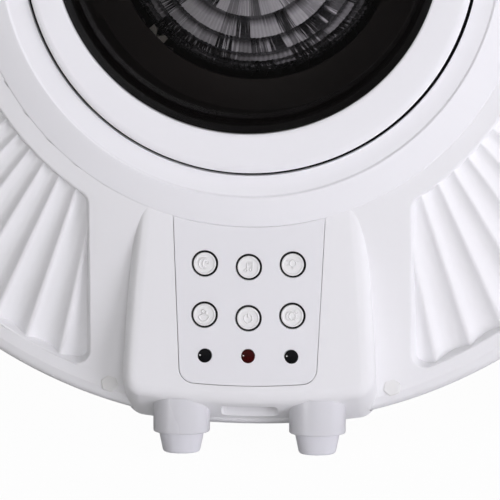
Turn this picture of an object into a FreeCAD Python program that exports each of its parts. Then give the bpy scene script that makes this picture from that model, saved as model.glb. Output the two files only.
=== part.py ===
"""Table-top planetarium projector: a white disc that stands upright on four stub legs.

A smoked dome in the middle covers a faceted crystal that turns over a lamp. Three spokes
divide the face into three fans of tapering flutes, and the lower spoke carries the console.

Most pieces are drawn in the disc's own frame and are stood upright when they are written:
    x to the right, y up the face, z out of the face, with z = 0 where the two shells meet.
Lengths are millimetres.
"""
import FreeCAD, Part
import math
import os
from FreeCAD import Placement, Rotation, Vector

# Lens opening and collar, from the outside in
joint_clearance = 0.1
overrun = 2.0
collar_radius = 60.9
collar_outer_height = 17.1
collar_slope_width = 6.3
collar_crest_radius = collar_radius - collar_slope_width
collar_crest_height = 19.6
collar_crest_bevel = 0.4
collar_step_radius = collar_crest_radius - collar_crest_bevel
collar_step_height = 19.2
collar_step_width = 4.5
collar_inner_radius = collar_step_radius - collar_step_width
collar_inner_height = 18.6
collar_undercut = 1.0
collar_undercut_radius = collar_inner_radius + collar_undercut
collar_undercut_height = 15.7

# Lens ring and smoked dome
lens_gap = 0.6
lens_ring_radius = collar_inner_radius - lens_gap
lens_ring_height = 19.9
lens_ring_edge = 0.5
lens_ring_barrel = 2.2
lens_ring_width = 8.3
dome_opening_radius = lens_ring_radius - lens_ring_width
dome_opening_height = 18.9
dome_lip = 0.3
dome_seat_height = 17.6
dome_wall = 1.8
dome_rise = 11.0
dome_side_clearance = 0.2
dome_flange_radius = lens_ring_radius - lens_ring_barrel - dome_side_clearance
seal_clearance = 0.2

# Face between collar and rim
console_bottom = 38.4
console_rim_setback = 3.9
console_pivot_drop = collar_radius + joint_clearance
band_outer_radius = console_pivot_drop + console_bottom + console_rim_setback
band_outer_height = 8.3
band_inner_height = 16.8
rim_roll = 3.0
rim_radius = band_outer_radius + rim_roll
rim_edge_height = 4.0
rim_bulge = 0.7
shell_wall = 2.4
flange_height = 13.8
flange_thickness = 2.2
flange_lap = 1.5
flange_bore = lens_ring_radius + flange_lap

# Standing height
leg_stub = 0.7
leg_step_drop = rim_radius + leg_stub
foot_height = 4.5
floor_drop = leg_step_drop + foot_height
rear_depth = 58.0

# Inner shroud
shroud_rim_lap = 4.1
shroud_rim_radius = dome_flange_radius - shroud_rim_lap
shroud_draft = 5.1
shroud_floor_radius = shroud_rim_radius - shroud_draft
shroud_wall = 1.8
shroud_floor_thickness = 1.4
shroud_flange_inset = 3.1
shroud_flange_radius = collar_radius - shroud_flange_inset

# Flute panels
spoke_half_width = 35.4
spoke_count = 3
panel_collar_margin = 4.6
panel_inner_radius = collar_radius + panel_collar_margin
panel_rim_margin = 2.9
panel_outer_radius = band_outer_radius - panel_rim_margin
panel_corner_radius = 2.8
panel_recess = 1.5
panel_thickness = 3.4
panel_gap = 0.12
panel_flange = 2.0
panel_flange_thickness = 1.3
flute_count = 18
flute_pitch_angle = 6.05
flute_apex_offset = 27.8
flute_depth_share = 0.24
flute_land = 0.35

# Console
console_tilt = 3.0
console_rise = 0.3
console_pivot_height = band_inner_height + console_rise
console_top = 9.0
console_top_half_width = 24.0
console_bottom_half_width = 28.0
console_side_bow = 0.9
console_lip_radius = 170.0
console_underside_slope = 0.40
console_wall = 2.2
console_front_wall = 2.6
console_corner_radius = 6.0
console_foot_radius = 4.6
console_edge_radius = 3.4
console_depth = 18.0

# Control plate
plate_top_half_width = 16.9
plate_bottom_half_width = 14.9
plate_foot_margin = 3.5
plate_bottom = console_bottom - plate_foot_margin
plate_bottom_bow = 0.8
plate_corner_radius = 3.3
plate_thickness = 1.6
plate_gap = 0.12
plate_ledge = 1.8
plate_top_gap = 0.3

# Buttons, switches and windows
button_pitch = 9.6
button_row_drops = (8.2, 19.4)
button_middle_drop = 0.65
button_hole_radius = 2.9
button_radius = 2.5
button_proud = 0.3
button_edge = 0.35
button_flange_radius = 3.4
button_flange_thickness = 0.8
button_flange_gap = 0.3
button_stem_radius = 1.2
button_travel = 0.6
button_switch_gap = 0.9
switch_width = 5.2
switch_height = 2.0
plunger_radius = 1.3
plunger_height = 0.9
window_drop = 28.3
window_pitch = 9.4
window_radius = 1.5
window_proud = 0.25
control_board_thickness = 1.6
control_board_half_width = 19.8
control_board_top = 2.5
control_board_bottom = 30.2
control_post_radius = 1.9
control_post_inset = 2.2

# Port
port_recess_width = 12.4
port_recess_low = 9.4
port_recess_high = 15.6
port_recess_depth = 8.3
port_recess_ceiling = rim_radius - port_recess_depth
port_recess_corner = 1.2
port_ceiling_thickness = 1.2
port_wall = 1.6
port_socket_length = 5.0
port_well_top = port_recess_ceiling - port_socket_length
port_mouth_width = 8.9
port_mouth_height = 3.2
port_shell_wall = 0.35
port_tongue_width = 6.7
port_tongue_thickness = 0.7
port_board_thickness = 0.8

# Legs
leg_spacing = 14.9
front_leg_height = 12.0
rear_leg_height = -50.0
leg_radius = 6.2
leg_edge = 0.5
foot_top_radius = 4.95
foot_bottom_radius = 4.0
foot_edge = 0.4
foot_socket_radius = 2.6
foot_socket_depth = 3.0
front_leg_reach = 10.0
front_leg_top_drop = leg_step_drop - front_leg_reach
rear_leg_reach = 37.0
rear_leg_top_drop = leg_step_drop - rear_leg_reach
leg_screw_radius = 1.5
leg_screw_head_radius = 2.8
leg_screw_head_height = 1.8
leg_screw_head_clearance = 0.3
leg_boss_radius = 3.6
leg_boss_rise = 0.4
front_boss_drop = front_leg_top_drop - leg_boss_rise
rear_boss_lap = 1.0
rear_boss_drop = rear_leg_top_drop + rear_boss_lap

# Rear shell
rear_side_depth = 8.0
rear_side_inset = 1.0
rear_side_radius = rim_radius - rear_side_inset
rear_shoulder_inset = 11.3
rear_shoulder_radius = rim_radius - rear_shoulder_inset
rear_shoulder_depth = 37.0
rear_wall_lean = 40.0
rear_edge_inset = 34.3
rear_edge_radius = rim_radius - rear_edge_inset
rear_edge_rise = 2.4
rear_edge_depth = rear_depth - rear_edge_rise
rear_corner_inset = 4.5
rear_corner_radius = rear_edge_radius - rear_corner_inset
rear_corner_rise = 0.6
rear_corner_depth = rear_depth - rear_corner_rise
rear_flat_inset = 10.0
rear_flat_radius = rear_edge_radius - rear_flat_inset
grille_slot_count = 20
grille_slot_width = 1.8
grille_rings = ((7.0, 12.5), (14.5, 21.5))
vent_slot_count = 9
vent_slot_pitch_angle = 5.0
vent_slot_width = 2.0
vent_slot_inner_reach = 13.0
vent_slot_low = rear_shoulder_radius - vent_slot_inner_reach
vent_slot_outer_reach = 3.0
vent_slot_high = rear_shoulder_radius + vent_slot_outer_reach

# Hex bolts
bolt_rim_margin = 1.3
bolt_circle_radius = band_outer_radius - bolt_rim_margin
bolt_offset = 31.0
bolt_flats = 3.6
bolt_turns = (41.0, 22.0)
bolt_head_height = 1.35
bolt_seat_height = 7.55
bolt_radius = 1.2
bolt_length = 18.0
bolt_clearance = 0.15
bolt_boss_radius = 3.0

# Light engine
base_top = -14.0
base_thickness = 2.5
base_radius = 44.0
base_post_radius_position = collar_radius + joint_clearance
base_post_radius = 2.8
base_arm_width = 8.0
base_post_count = 4
post_screw_radius = 1.1
post_screw_head_radius = 2.2
post_screw_head_height = 1.4
post_screw_length = 9.0
hub_radius = 24.0
hub_bore = 21.5
hub_ledge_bore = 20.2
hub_ledge_height = -8.5
hub_top = -4.6
thrust_ledge_radius = 26.0
thrust_ledge_height = 1.5
running_gap = 0.3
bearing_clearance = 0.06
retainer_radius = 25.2
retainer_thickness = 1.0

# Gears
gear_module = 1.0
crown_teeth = 60
pinion_teeth = 12
star_teeth = 14
gear_backlash = 0.25
tooth_share = 0.43
tooth_height_share = 0.85
tooth_root_share = 1.2
flank_angle = 20.0
gear_thickness = 4.2
pinion_angle = 225.0
star_angle = 90.0
pinion_shaft_radius = 1.0
shaft_clearance = 0.05
star_pin_radius = 1.0
star_gear_thickness = 2.6
star_window_outer = 4.9
star_window_inner = 2.2
star_film_radius = 5.3
star_film_thickness = 0.5
star_web_width = 1.2

# Crystal dome
crystal_radius = 29.3
shroud_bore_clearance = 1.3
shroud_bore = crystal_radius + shroud_bore_clearance
crystal_wall = 3.0
crystal_sides = 36
crystal_tier_angles = (90.0, 78.0, 69.5, 62.0, 54.0, 43.0, 30.3, 17.0)
crystal_step = 0.45
crystal_cap_height = 0.8

# Lamp
led_board_radius = 19.6
led_board_thickness = 1.6
emitter_width = 3.6
emitter_height = 1.0
emitter_dome_radius = 1.5
emitter_offset = 6.5
emitter_count = 4
condenser_radius = 21.4
condenser_edge = 1.6
condenser_rise = 5.0
sink_radius = 20.0
sink_base = 3.0
sink_depth = 17.0
sink_fin_count = 9
sink_fin_thickness = 1.2
sink_fin_pitch = 4.2

# Motor and star laser
motor_radius = 10.5
motor_depth = 15.0
motor_boss_radius = 3.2
motor_ear_width = 6.0
motor_ear_reach = 15.0
motor_ear_thickness = 1.2
shaft_depth = 8.0
laser_radius = 4.5
laser_depth = 21.0
laser_bore = 1.2
laser_beam_offset = 3.2
laser_flange_radius = 5.6
laser_flange_thickness = 1.6

# Boards and speaker
main_board_height = -24.0
main_board_thickness = 1.6
main_board_half_width = 30.0
main_board_shoulder_margin = 9.0
main_board_low = rear_shoulder_radius - main_board_shoulder_margin
main_board_length = 30.0
main_board_high = main_board_low - main_board_length
main_board_boss_radius = 2.6
main_board_inset = 4.0
chip_sizes = ((9.0, 9.0, 1.2), (6.0, 5.0, 1.5), (12.0, 5.0, 5.0))
chip_places_share = ((0.0, 0.5), (-0.55, 0.35), (0.5, 0.72))
speaker_radius = 25.0
speaker_rim = 2.6
speaker_rim_thickness = 2.0
speaker_depth = 13.0
speaker_magnet_radius = 11.0
speaker_magnet_height = 6.0
speaker_cone_wall = 0.8
speaker_boss_radius = 3.0
speaker_boss_gap = 4.0
speaker_boss_circle = speaker_radius + speaker_boss_gap

ORIGIN = Vector(0, 0, 0)
AXIS = Vector(0, 0, 1)
full_turn = 360.0
half_turn = full_turn / 2
quarter_turn = full_turn / 4
spoke_step = full_turn / spoke_count
band_slope = (band_inner_height - band_outer_height) / (band_outer_radius - collar_radius)
dome_apex = dome_seat_height + dome_rise
depth_shift = (dome_apex - rear_depth) / 2


def band_height(radius):
    """Height of the conical face band at a radius."""
    return band_inner_height - (radius - collar_radius) * band_slope


def polar(radius, angle, height=0):
    """Point at a radius and an angle in degrees."""
    turn = math.radians(angle)
    return Vector(radius * math.cos(turn), radius * math.sin(turn), height)


def drum(radius, low, high, centre=ORIGIN):
    """Round bar along the disc's axis between two heights."""
    return Part.makeCylinder(radius, high - low, Vector(centre.x, centre.y, low))


def tube(outer, inner, low, high, centre=ORIGIN):
    """Round tube along the disc's axis between two heights."""
    return drum(outer, low, high, centre).cut(drum(inner, low - overrun, high + overrun, centre))


def block(x_low, x_high, y_low, y_high, z_low, z_high):
    """Box between two corners."""
    return Part.makeBox(x_high - x_low, y_high - y_low, z_high - z_low, Vector(x_low, y_low, z_low))


def turned(points):
    """Body of revolution: corners are (radius, height), and three-item corners add the arc's middle."""
    edges = []
    start = Vector(points[0][0], 0, points[0][1])
    here = start
    for point in points[1:] + [points[0]]:
        end = Vector(point[0], 0, point[1])
        if len(point) == 4:
            edges.append(Part.Arc(here, Vector(point[2], 0, point[3]), end).toShape())
        else:
            edges.append(Part.LineSegment(here, end).toShape())
        here = end
    return Part.Face(Part.Wire(edges)).revolve(ORIGIN, AXIS, full_turn)


def fused(shapes):
    """One solid from overlapping solids."""
    shape = shapes[0]
    if len(shapes) > 1:
        shape = shape.fuse(shapes[1:])
    return shape.removeSplitter()


def spun(shape, angle):
    """Copy turned about the disc's axis."""
    copy = shape.copy()
    copy.rotate(ORIGIN, AXIS, angle)
    return copy


def upright(shape):
    """Stand a shape of the disc's frame on the floor, with the part's box centred front to back."""
    copy = shape.copy()
    copy.Placement = Placement(Vector(0, depth_shift, floor_drop),
                               Rotation(Vector(1, 0, 0), quarter_turn)).multiply(copy.Placement)
    return copy


def upright_bar(radius, x, z, low_drop, high_drop, top_radius=None):
    """Vertical bar or taper at (x, z), from a lower to a higher level below the disc's centre."""
    base = Vector(x, -low_drop, z)
    length = low_drop - high_drop
    if top_radius is None:
        return Part.makeCylinder(radius, length, base, Vector(0, 1, 0))
    return Part.makeCone(radius, top_radius, length, base, Vector(0, 1, 0))


# Housing shells

def front_envelope():
    """Solid outline of the front shell, without the centre opening."""
    rim_mid = ((rim_radius + band_outer_radius) / 2 + rim_bulge,
               (rim_edge_height + band_outer_height) / 2 + rim_bulge)
    return turned([(0, 0), (rim_radius, 0), (rim_radius, rim_edge_height),
                   (band_outer_radius, band_outer_height, rim_mid[0], rim_mid[1]),
                   (collar_radius, band_inner_height), (0, band_inner_height)])


def front_skin():
    """Front shell as one turned wall with the flange that carries the lens."""
    rim_mid = ((rim_radius + band_outer_radius) / 2 + rim_bulge,
               (rim_edge_height + band_outer_height) / 2 + rim_bulge)
    seat = collar_radius + joint_clearance
    flange_low = flange_height - flange_thickness
    step = seat + shell_wall
    inner_rim = rim_radius - shell_wall
    return turned([(rim_radius, 0), (rim_radius, rim_edge_height),
                   (band_outer_radius, band_outer_height, rim_mid[0], rim_mid[1]),
                   (seat, band_height(seat)), (seat, flange_height), (flange_bore, flange_height),
                   (flange_bore, flange_low), (step, flange_low), (step, band_height(step) - shell_wall),
                   (inner_rim, band_height(inner_rim) - shell_wall), (inner_rim, 0)])


def spoke_wedge(offset):
    """Region between the facing edges of the two spokes beside the lower right panel."""
    mid_angle = spoke_step / 2 - quarter_turn
    reach = rim_radius * 2
    apex_distance = (spoke_half_width - offset) / math.sin(math.radians(spoke_step / 2))
    apex = polar(apex_distance, mid_angle)
    first = apex + polar(reach, mid_angle - spoke_step / 2)
    second = apex + polar(reach, mid_angle + spoke_step / 2)
    floor = Vector(0, 0, -overrun)
    wire = Part.makePolygon([apex + floor, first + floor, second + floor, apex + floor])
    return Part.Face(wire).extrude(Vector(0, 0, band_inner_height + 2 * overrun))


def panel_prism(offset):
    """Rounded outline of the lower right panel, grown by an offset, as a tall prism."""
    ring = tube(panel_outer_radius + offset, panel_inner_radius - offset,
                -overrun, band_inner_height + overrun)
    prism = ring.common(spoke_wedge(offset))
    corners = [edge for edge in prism.Edges
               if abs(edge.tangentAt(edge.FirstParameter).z) > 0.999]
    return prism.makeFillet(panel_corner_radius + offset, corners)


def bolt_places():
    """Centres of the two hex bolts on each spoke."""
    drop = math.sqrt(bolt_circle_radius ** 2 - bolt_offset ** 2)
    places = []
    for spoke in range(spoke_count):
        for side in (-1, 1):
            place = Vector(side * bolt_offset, -drop, 0)
            places.append(Rotation(AXIS, spoke * spoke_step).multVec(place))
    return places


def bolt_prism(number, offset, high):
    """Hexagonal prism of a bolt's head, grown by an offset, from its seat up to a height."""
    corner_radius = (bolt_flats / 2 + offset) / math.cos(math.radians(full_turn / 12))
    turn = bolt_turns[number % 2] + spoke_step * (number // 2)
    corners = [polar(corner_radius, turn + full_turn / 6 * side, bolt_seat_height) for side in range(6)]
    prism = Part.Face(Part.makePolygon(corners + corners[:1])).extrude(Vector(0, 0, high - bolt_seat_height))
    prism.translate(bolt_places()[number])
    return prism


def post_places():
    """Centres of the posts that carry the light engine."""
    step = full_turn / base_post_count
    return [polar(base_post_radius_position, step / 2 + step * number) for number in range(base_post_count)]


def front_shell():
    """White face with three spokes, three windows for the flute panels and posts behind."""
    shell = front_skin()
    for number in range(spoke_count):
        shell = shell.cut(spun(panel_prism(0), number * spoke_step))
    envelope = front_envelope()
    additions = [drum(bolt_boss_radius, 0, band_outer_height, place).common(envelope)
                 for place in bolt_places()]
    flange_low = flange_height - flange_thickness
    additions += [drum(base_post_radius, base_top, flange_low + flange_thickness / 2, place)
                  for place in post_places()]
    shell = fused([shell] + additions)
    shell = shell.cut(console_aperture()).cut(plate_pocket()).cut(plate_window())
    for number, place in enumerate(bolt_places()):
        shell = shell.cut(drum(bolt_radius + bolt_clearance, -overrun, band_inner_height, place))
        shell = shell.cut(bolt_prism(number, bolt_clearance, band_inner_height))
    for place in post_places():
        shell = shell.cut(drum(post_screw_radius, base_top - overrun,
                               base_top + post_screw_length - base_thickness, place))
    return shell


def console_aperture():
    """Opening in the lower spoke that lets the console's inside meet the disc's inside."""
    cavity = console_cavity()
    return cavity.common(drum(band_outer_radius - shell_wall, -overrun, dome_apex))


def flute_panel():
    """Lower right fan of tapering scalloped flutes, with a flange that seats behind the window."""
    start = panel_inner_radius - panel_flange - overrun
    end = panel_outer_radius + panel_flange + overrun

    def cone_layer(top_drop, bottom_drop):
        return turned([(start, band_height(start) - top_drop), (end, band_height(end) - top_drop),
                       (end, band_height(end) - bottom_drop), (start, band_height(start) - bottom_drop)])

    bottom_drop = panel_recess + panel_thickness
    body = cone_layer(panel_recess, bottom_drop).common(panel_prism(-panel_gap))
    flange_top = bottom_drop - panel_flange_thickness
    flange = cone_layer(flange_top, bottom_drop).common(panel_prism(panel_flange))
    backing = front_skin_clear().common(flange)
    panel = fused([body, backing])
    return panel.cut(Part.makeCompound(flute_cutters()))


def front_skin_clear():
    """Space behind the face band in which the panel flanges lie."""
    return drum(rim_radius - shell_wall - joint_clearance, -overrun, band_inner_height).cut(
        drum(collar_radius + shell_wall + 2 * joint_clearance, -2 * overrun, band_inner_height + overrun))


def flute_cutters():
    """Cones that radiate from the fan's apex and follow the sloping band, one for each flute."""
    mid_angle = spoke_step / 2 - quarter_turn
    apex = polar(flute_apex_offset, mid_angle)
    near = panel_inner_radius - flute_apex_offset - panel_flange
    far = panel_outer_radius - flute_apex_offset + 4 * panel_flange
    half_pitch = math.radians(flute_pitch_angle) / 2
    cutters = []
    for number in range(flute_count):
        angle = mid_angle + (number - (flute_count - 1) / 2) * flute_pitch_angle
        ends = []
        for distance in (near, far):
            half_width = distance * math.tan(half_pitch) - flute_land / 2
            depth = 2 * half_width * flute_depth_share
            radius = (half_width ** 2 + depth ** 2) / (2 * depth)
            point = apex + polar(distance, angle)
            crest = band_height(math.hypot(point.x, point.y)) - panel_recess
            ends.append((Vector(point.x, point.y, crest + radius - depth), radius))
        (low, low_radius), (high, high_radius) = ends
        line = high - low
        cutters.append(Part.makeCone(low_radius, high_radius, line.Length, low, line))
    return cutters


def rear_outline(inset):
    """Closed outline of the bowl, inset by a wall."""
    lean = math.radians(rear_wall_lean)
    shoulder = (rear_shoulder_radius - inset * math.cos(lean), -rear_shoulder_depth + inset * math.sin(lean))
    corner = (rear_corner_radius - inset / 2, -rear_corner_depth + inset)
    return [(0, -rear_depth + inset), (rear_flat_radius - inset / 2, -rear_depth + inset),
            (rear_edge_radius - inset / 2, -rear_edge_depth + inset, corner[0], corner[1]),
            (rear_side_radius - inset, -rear_side_depth, shoulder[0], shoulder[1]),
            (rim_radius - inset, 0), (0, 0)]


def rear_envelope():
    """Solid outline of the rear shell."""
    return turned(rear_outline(0))


def rear_shell():
    """White bowl with a speaker grille, vents, bolt bosses, board bosses and leg bosses."""
    envelope = rear_envelope()
    inside = turned(rear_outline(shell_wall))
    cap = drum(rim_radius, 0, overrun)
    shell = envelope.cut(inside.fuse(cap))
    bosses = [drum(bolt_boss_radius, -bolt_length + bolt_seat_height - overrun, 0, place)
              for place in bolt_places()]
    bosses += [drum(main_board_boss_radius, -rear_depth, main_board_height, place)
               for place in main_board_places()]
    bosses += [drum(speaker_boss_radius, -rear_depth, speaker_seat() + speaker_rim_thickness,
                    polar(speaker_boss_circle, quarter_turn / 2 + quarter_turn * number))
               for number in range(4)]
    bosses += [upright_bar(leg_boss_radius, side * leg_spacing, rear_leg_height,
                           leg_step_drop, rear_boss_drop) for side in (-1, 1)]
    shell = fused([shell] + [boss.common(envelope) for boss in bosses])
    shell = shell.cut(drum(speaker_radius + joint_clearance, speaker_seat(), -rear_shoulder_depth))
    for place in bolt_places():
        shell = shell.cut(drum(bolt_radius, bolt_seat_height - bolt_length, overrun, place))
    for side in (-1, 1):
        shell = shell.cut(upright_bar(leg_screw_radius, side * leg_spacing, rear_leg_height,
                                      leg_step_drop, rear_boss_drop - overrun))
        shell = shell.cut(upright_bar(leg_screw_head_radius + leg_screw_head_clearance, side * leg_spacing,
                                      rear_leg_height, rear_boss_drop,
                                      rear_boss_drop - leg_screw_head_height - leg_screw_head_clearance))
    return shell.cut(Part.makeCompound(grille_slots() + vent_slots()))


def speaker_seat():
    """Height of the inner face of the flat back, where the speaker rests."""
    return -rear_depth + shell_wall


def grille_slots():
    """Radial slots of the speaker grille in two rings, staggered by half a step."""
    slots = []
    for ring, (inner, outer) in enumerate(grille_rings):
        count = grille_slot_count // (2 - ring)
        for number in range(count):
            slot = block(inner, outer, -grille_slot_width / 2, grille_slot_width / 2,
                         -rear_depth - overrun, speaker_seat() + overrun)
            slots.append(spun(slot, (number + ring / 2) * full_turn / count))
    return slots


def vent_slots():
    """Row of cooling slots in the top of the bowl."""
    slots = []
    for number in range(vent_slot_count):
        angle = quarter_turn + (number - (vent_slot_count - 1) / 2) * vent_slot_pitch_angle
        slot = block(vent_slot_low, vent_slot_high, -vent_slot_width / 2, vent_slot_width / 2,
                     -rear_depth, -rear_shoulder_depth + overrun)
        slots.append(spun(slot, angle))
    return slots


def collar_ring():
    """Trim ring with a shallow inner step and a sloping outer face."""
    return turned([(collar_radius, flange_height), (collar_radius, collar_outer_height),
                   (collar_crest_radius, collar_crest_height), (collar_step_radius, collar_step_height),
                   (collar_inner_radius, collar_inner_height),
                   (collar_inner_radius, collar_undercut_height),
                   (collar_undercut_radius, collar_undercut_height),
                   (collar_undercut_radius, flange_height)])


def shroud_seat():
    """Height at which the shroud's flange meets the underside of the front shell's flange."""
    return flange_height - flange_thickness


def lens_ring():
    """White ring that clamps the smoked dome, with a barrel that stands on the shroud."""
    inner_barrel = lens_ring_radius - lens_ring_barrel
    return turned([(dome_opening_radius, dome_seat_height), (dome_opening_radius, dome_opening_height),
                   (dome_opening_radius + dome_lip, dome_opening_height + dome_lip),
                   (lens_ring_radius - lens_ring_edge, lens_ring_height),
                   (lens_ring_radius, lens_ring_height - lens_ring_edge,
                    lens_ring_radius - lens_ring_edge * (1 - math.sqrt(1 / 2)),
                    lens_ring_height - lens_ring_edge * (1 - math.sqrt(1 / 2))),
                   (lens_ring_radius, shroud_seat()), (inner_barrel, shroud_seat()),
                   (inner_barrel, dome_seat_height)])


def gap_seal():
    """Black sponge ring at the bottom of the gap around the lens ring."""
    return turned([(lens_ring_radius, shroud_seat()), (flange_bore - joint_clearance, shroud_seat()),
                   (flange_bore - joint_clearance, collar_undercut_height - seal_clearance),
                   (lens_ring_radius, collar_undercut_height - seal_clearance)])


def arc_middle(radius, rise, seat):
    """Middle of the circular arc from (radius, seat) up to (0, seat + rise)."""
    sphere = (radius ** 2 + rise ** 2) / (2 * rise)
    centre = seat + rise - sphere
    half_angle = math.asin(radius / sphere) / 2
    return sphere * math.sin(half_angle), centre + sphere * math.cos(half_angle)


def smoked_dome():
    """Shallow dark window dome with a flat flange under the lens ring."""
    outer_radius = dome_opening_radius - dome_side_clearance
    low = dome_seat_height - dome_wall
    inner_radius = outer_radius - dome_wall
    outer_mid = arc_middle(outer_radius, dome_rise, dome_seat_height)
    inner_mid = arc_middle(inner_radius, dome_rise, low)
    return turned([(0, dome_apex), (outer_radius, dome_seat_height, outer_mid[0], outer_mid[1]),
                   (dome_flange_radius, dome_seat_height), (dome_flange_radius, low),
                   (inner_radius, low), (0, low + dome_rise, inner_mid[0], inner_mid[1])])


def inner_shroud():
    """Black cup between the dome and the crystal, with a window over the star wheel."""
    rim_height = dome_seat_height - dome_wall
    seat = shroud_seat()
    outer_foot = shroud_floor_radius + shroud_wall
    flange_low = seat - shroud_wall
    cup = turned([(shroud_rim_radius, rim_height), (dome_flange_radius, rim_height),
                  (dome_flange_radius, seat), (shroud_flange_radius, seat),
                  (shroud_flange_radius, flange_low), (shroud_rim_radius + shroud_wall, flange_low),
                  (outer_foot, -shroud_floor_thickness), (shroud_bore, -shroud_floor_thickness),
                  (shroud_bore, 0), (shroud_floor_radius, 0)])
    beam = polar(star_distance() - laser_beam_offset, star_angle)
    return cup.cut(drum(laser_beam_offset - shaft_clearance, -shroud_floor_thickness - overrun, overrun, beam))


# Console

def console_frame():
    """Place of the console's front plane: x across, y up the plane, z out of it."""
    return Placement(Vector(0, -console_pivot_drop, console_pivot_height),
                     Rotation(Vector(1, 0, 0), -console_tilt))


def in_disc(shape):
    """Move a shape from the console's frame to the disc's frame."""
    copy = shape.copy()
    copy.Placement = console_frame().multiply(copy.Placement)
    return copy


def console_form(inset, front_inset):
    """Console block in its own frame: tapering sides, bowed sloping underside, rounded edges."""
    top = console_top - inset
    low = -console_bottom - console_depth * console_underside_slope - overrun
    top_half = console_top_half_width - inset
    low_half = console_bottom_half_width - inset
    back = Vector(0, 0, -console_depth)
    middle = Vector((top_half + low_half) / 2 + console_side_bow, (top + low) / 2, 0) + back
    corners = [Vector(-top_half, top, 0) + back, Vector(top_half, top, 0) + back,
               Vector(low_half, low, 0) + back, Vector(-low_half, low, 0) + back]
    wire = Part.Wire([Part.LineSegment(corners[0], corners[1]).toShape(),
                      Part.Arc(corners[1], middle, corners[2]).toShape(),
                      Part.LineSegment(corners[2], corners[3]).toShape(),
                      Part.Arc(corners[3], Vector(-middle.x, middle.y, middle.z), corners[0]).toShape()])
    prism = Part.Face(wire).extrude(Vector(0, 0, console_depth - front_inset))
    lip = console_lip_radius - inset
    centre = Vector(0, console_lip_radius - console_bottom, -console_depth)
    underside = Part.makeCone(lip + console_depth * console_underside_slope, lip, console_depth, centre)
    form = prism.common(underside)
    upper = []
    lower = []
    for edge in form.Edges:
        ends = [vertex.Point for vertex in edge.Vertexes]
        if len(ends) == 2 and abs(ends[0].z - ends[1].z) > console_depth / 2:
            (upper if ends[0].y > -console_bottom / 2 else lower).append(edge)
    form = form.makeFillet(max(console_corner_radius - inset, console_edge_radius), upper)
    lower = [edge for edge in form.Edges if len(edge.Vertexes) == 2
             and abs(edge.Vertexes[0].Point.z - edge.Vertexes[1].Point.z) > console_depth / 2
             and edge.Vertexes[0].Point.y < -console_bottom / 2]
    form = form.makeFillet(max(console_foot_radius - inset, console_wall / 2), lower)
    if inset > 0:
        return form
    front = [edge for edge in form.Edges
             if all(abs(vertex.Point.z) < joint_clearance for vertex in edge.Vertexes)]
    return form.makeFillet(console_edge_radius, front)


def console_block():
    """Outer form of the console in the disc's frame, clear of the collar ring."""
    below = drum(rim_radius + console_depth, -console_depth, rim_edge_height)
    around = drum(console_pivot_drop, -console_depth, dome_apex)
    return in_disc(console_form(0, 0)).cut(below).cut(around)


def console_cavity():
    """Hollow inside the console, open towards the disc's inside."""
    hollow = in_disc(console_form(console_wall, console_front_wall))
    return hollow.cut(drum(console_pivot_drop + console_wall, -console_depth, dome_apex))


def plate_prism(offset, low, high):
    """Control plate's outline grown by an offset, between two heights in the console's frame."""
    top = console_top + offset
    top_half = plate_top_half_width + offset
    low_half = plate_bottom_half_width + offset
    low_y = -plate_bottom - offset
    side_y = low_y + plate_bottom_bow
    left = Vector(-low_half, side_y, low)
    right = Vector(low_half, side_y, low)
    edges = [Part.LineSegment(Vector(-top_half, top, low), left).toShape(),
             Part.Arc(left, Vector(0, low_y, low), right).toShape(),
             Part.LineSegment(right, Vector(top_half, top, low)).toShape(),
             Part.LineSegment(Vector(top_half, top, low), Vector(-top_half, top, low)).toShape()]
    prism = Part.Face(Part.Wire(edges)).extrude(Vector(0, 0, high - low))
    corners = [edge for edge in prism.Edges if len(edge.Vertexes) == 2
               and abs(edge.Vertexes[0].Point.z - edge.Vertexes[1].Point.z) > (high - low) / 2
               and edge.Vertexes[0].Point.y < -plate_bottom / 2]
    return prism.makeFillet(plate_corner_radius + offset, corners)


def plate_pocket():
    """Shallow pocket that the control plate lies in."""
    return in_disc(plate_prism(plate_gap, -plate_thickness, overrun))


def plate_window():
    """Opening behind the control plate, inside the ledge that carries the plate."""
    window = in_disc(plate_prism(-plate_ledge, -console_depth / 2, overrun))
    return window.cut(drum(console_pivot_drop + console_wall, -console_depth, dome_apex))


def button_places():
    """Button centres in the console's frame, row by row, the middle one a little lower."""
    places = []
    for drop in button_row_drops:
        for column in (-1, 0, 1):
            sag = 0 if column else button_middle_drop
            places.append(Vector(column * button_pitch, -drop - sag, 0))
    return places


def window_places():
    """Centres of the three small windows in the console's frame."""
    return [Vector(column * window_pitch, -window_drop, 0) for column in (-1, 0, 1)]


def switch_top():
    """Height of the switch bodies' upper face in the console's frame."""
    return cap_stem_low() - button_switch_gap - plunger_height


def cap_stem_low():
    """Height of the lower end of the button stems at rest."""
    return flange_top() - button_flange_thickness - 2 * button_travel - button_switch_gap


def flange_top():
    """Height of the upper face of the button flanges at rest."""
    return -plate_thickness - button_flange_gap


def board_top():
    """Height of the control board's upper face in the console's frame."""
    return switch_top() - switch_height


def control_post_places():
    """Places of the four posts that carry the control board."""
    x = control_board_half_width - control_post_inset
    return [Vector(side * x, drop, 0) for side in (-1, 1)
            for drop in (-control_board_top - control_post_inset, -control_board_bottom + control_post_inset)]


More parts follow.
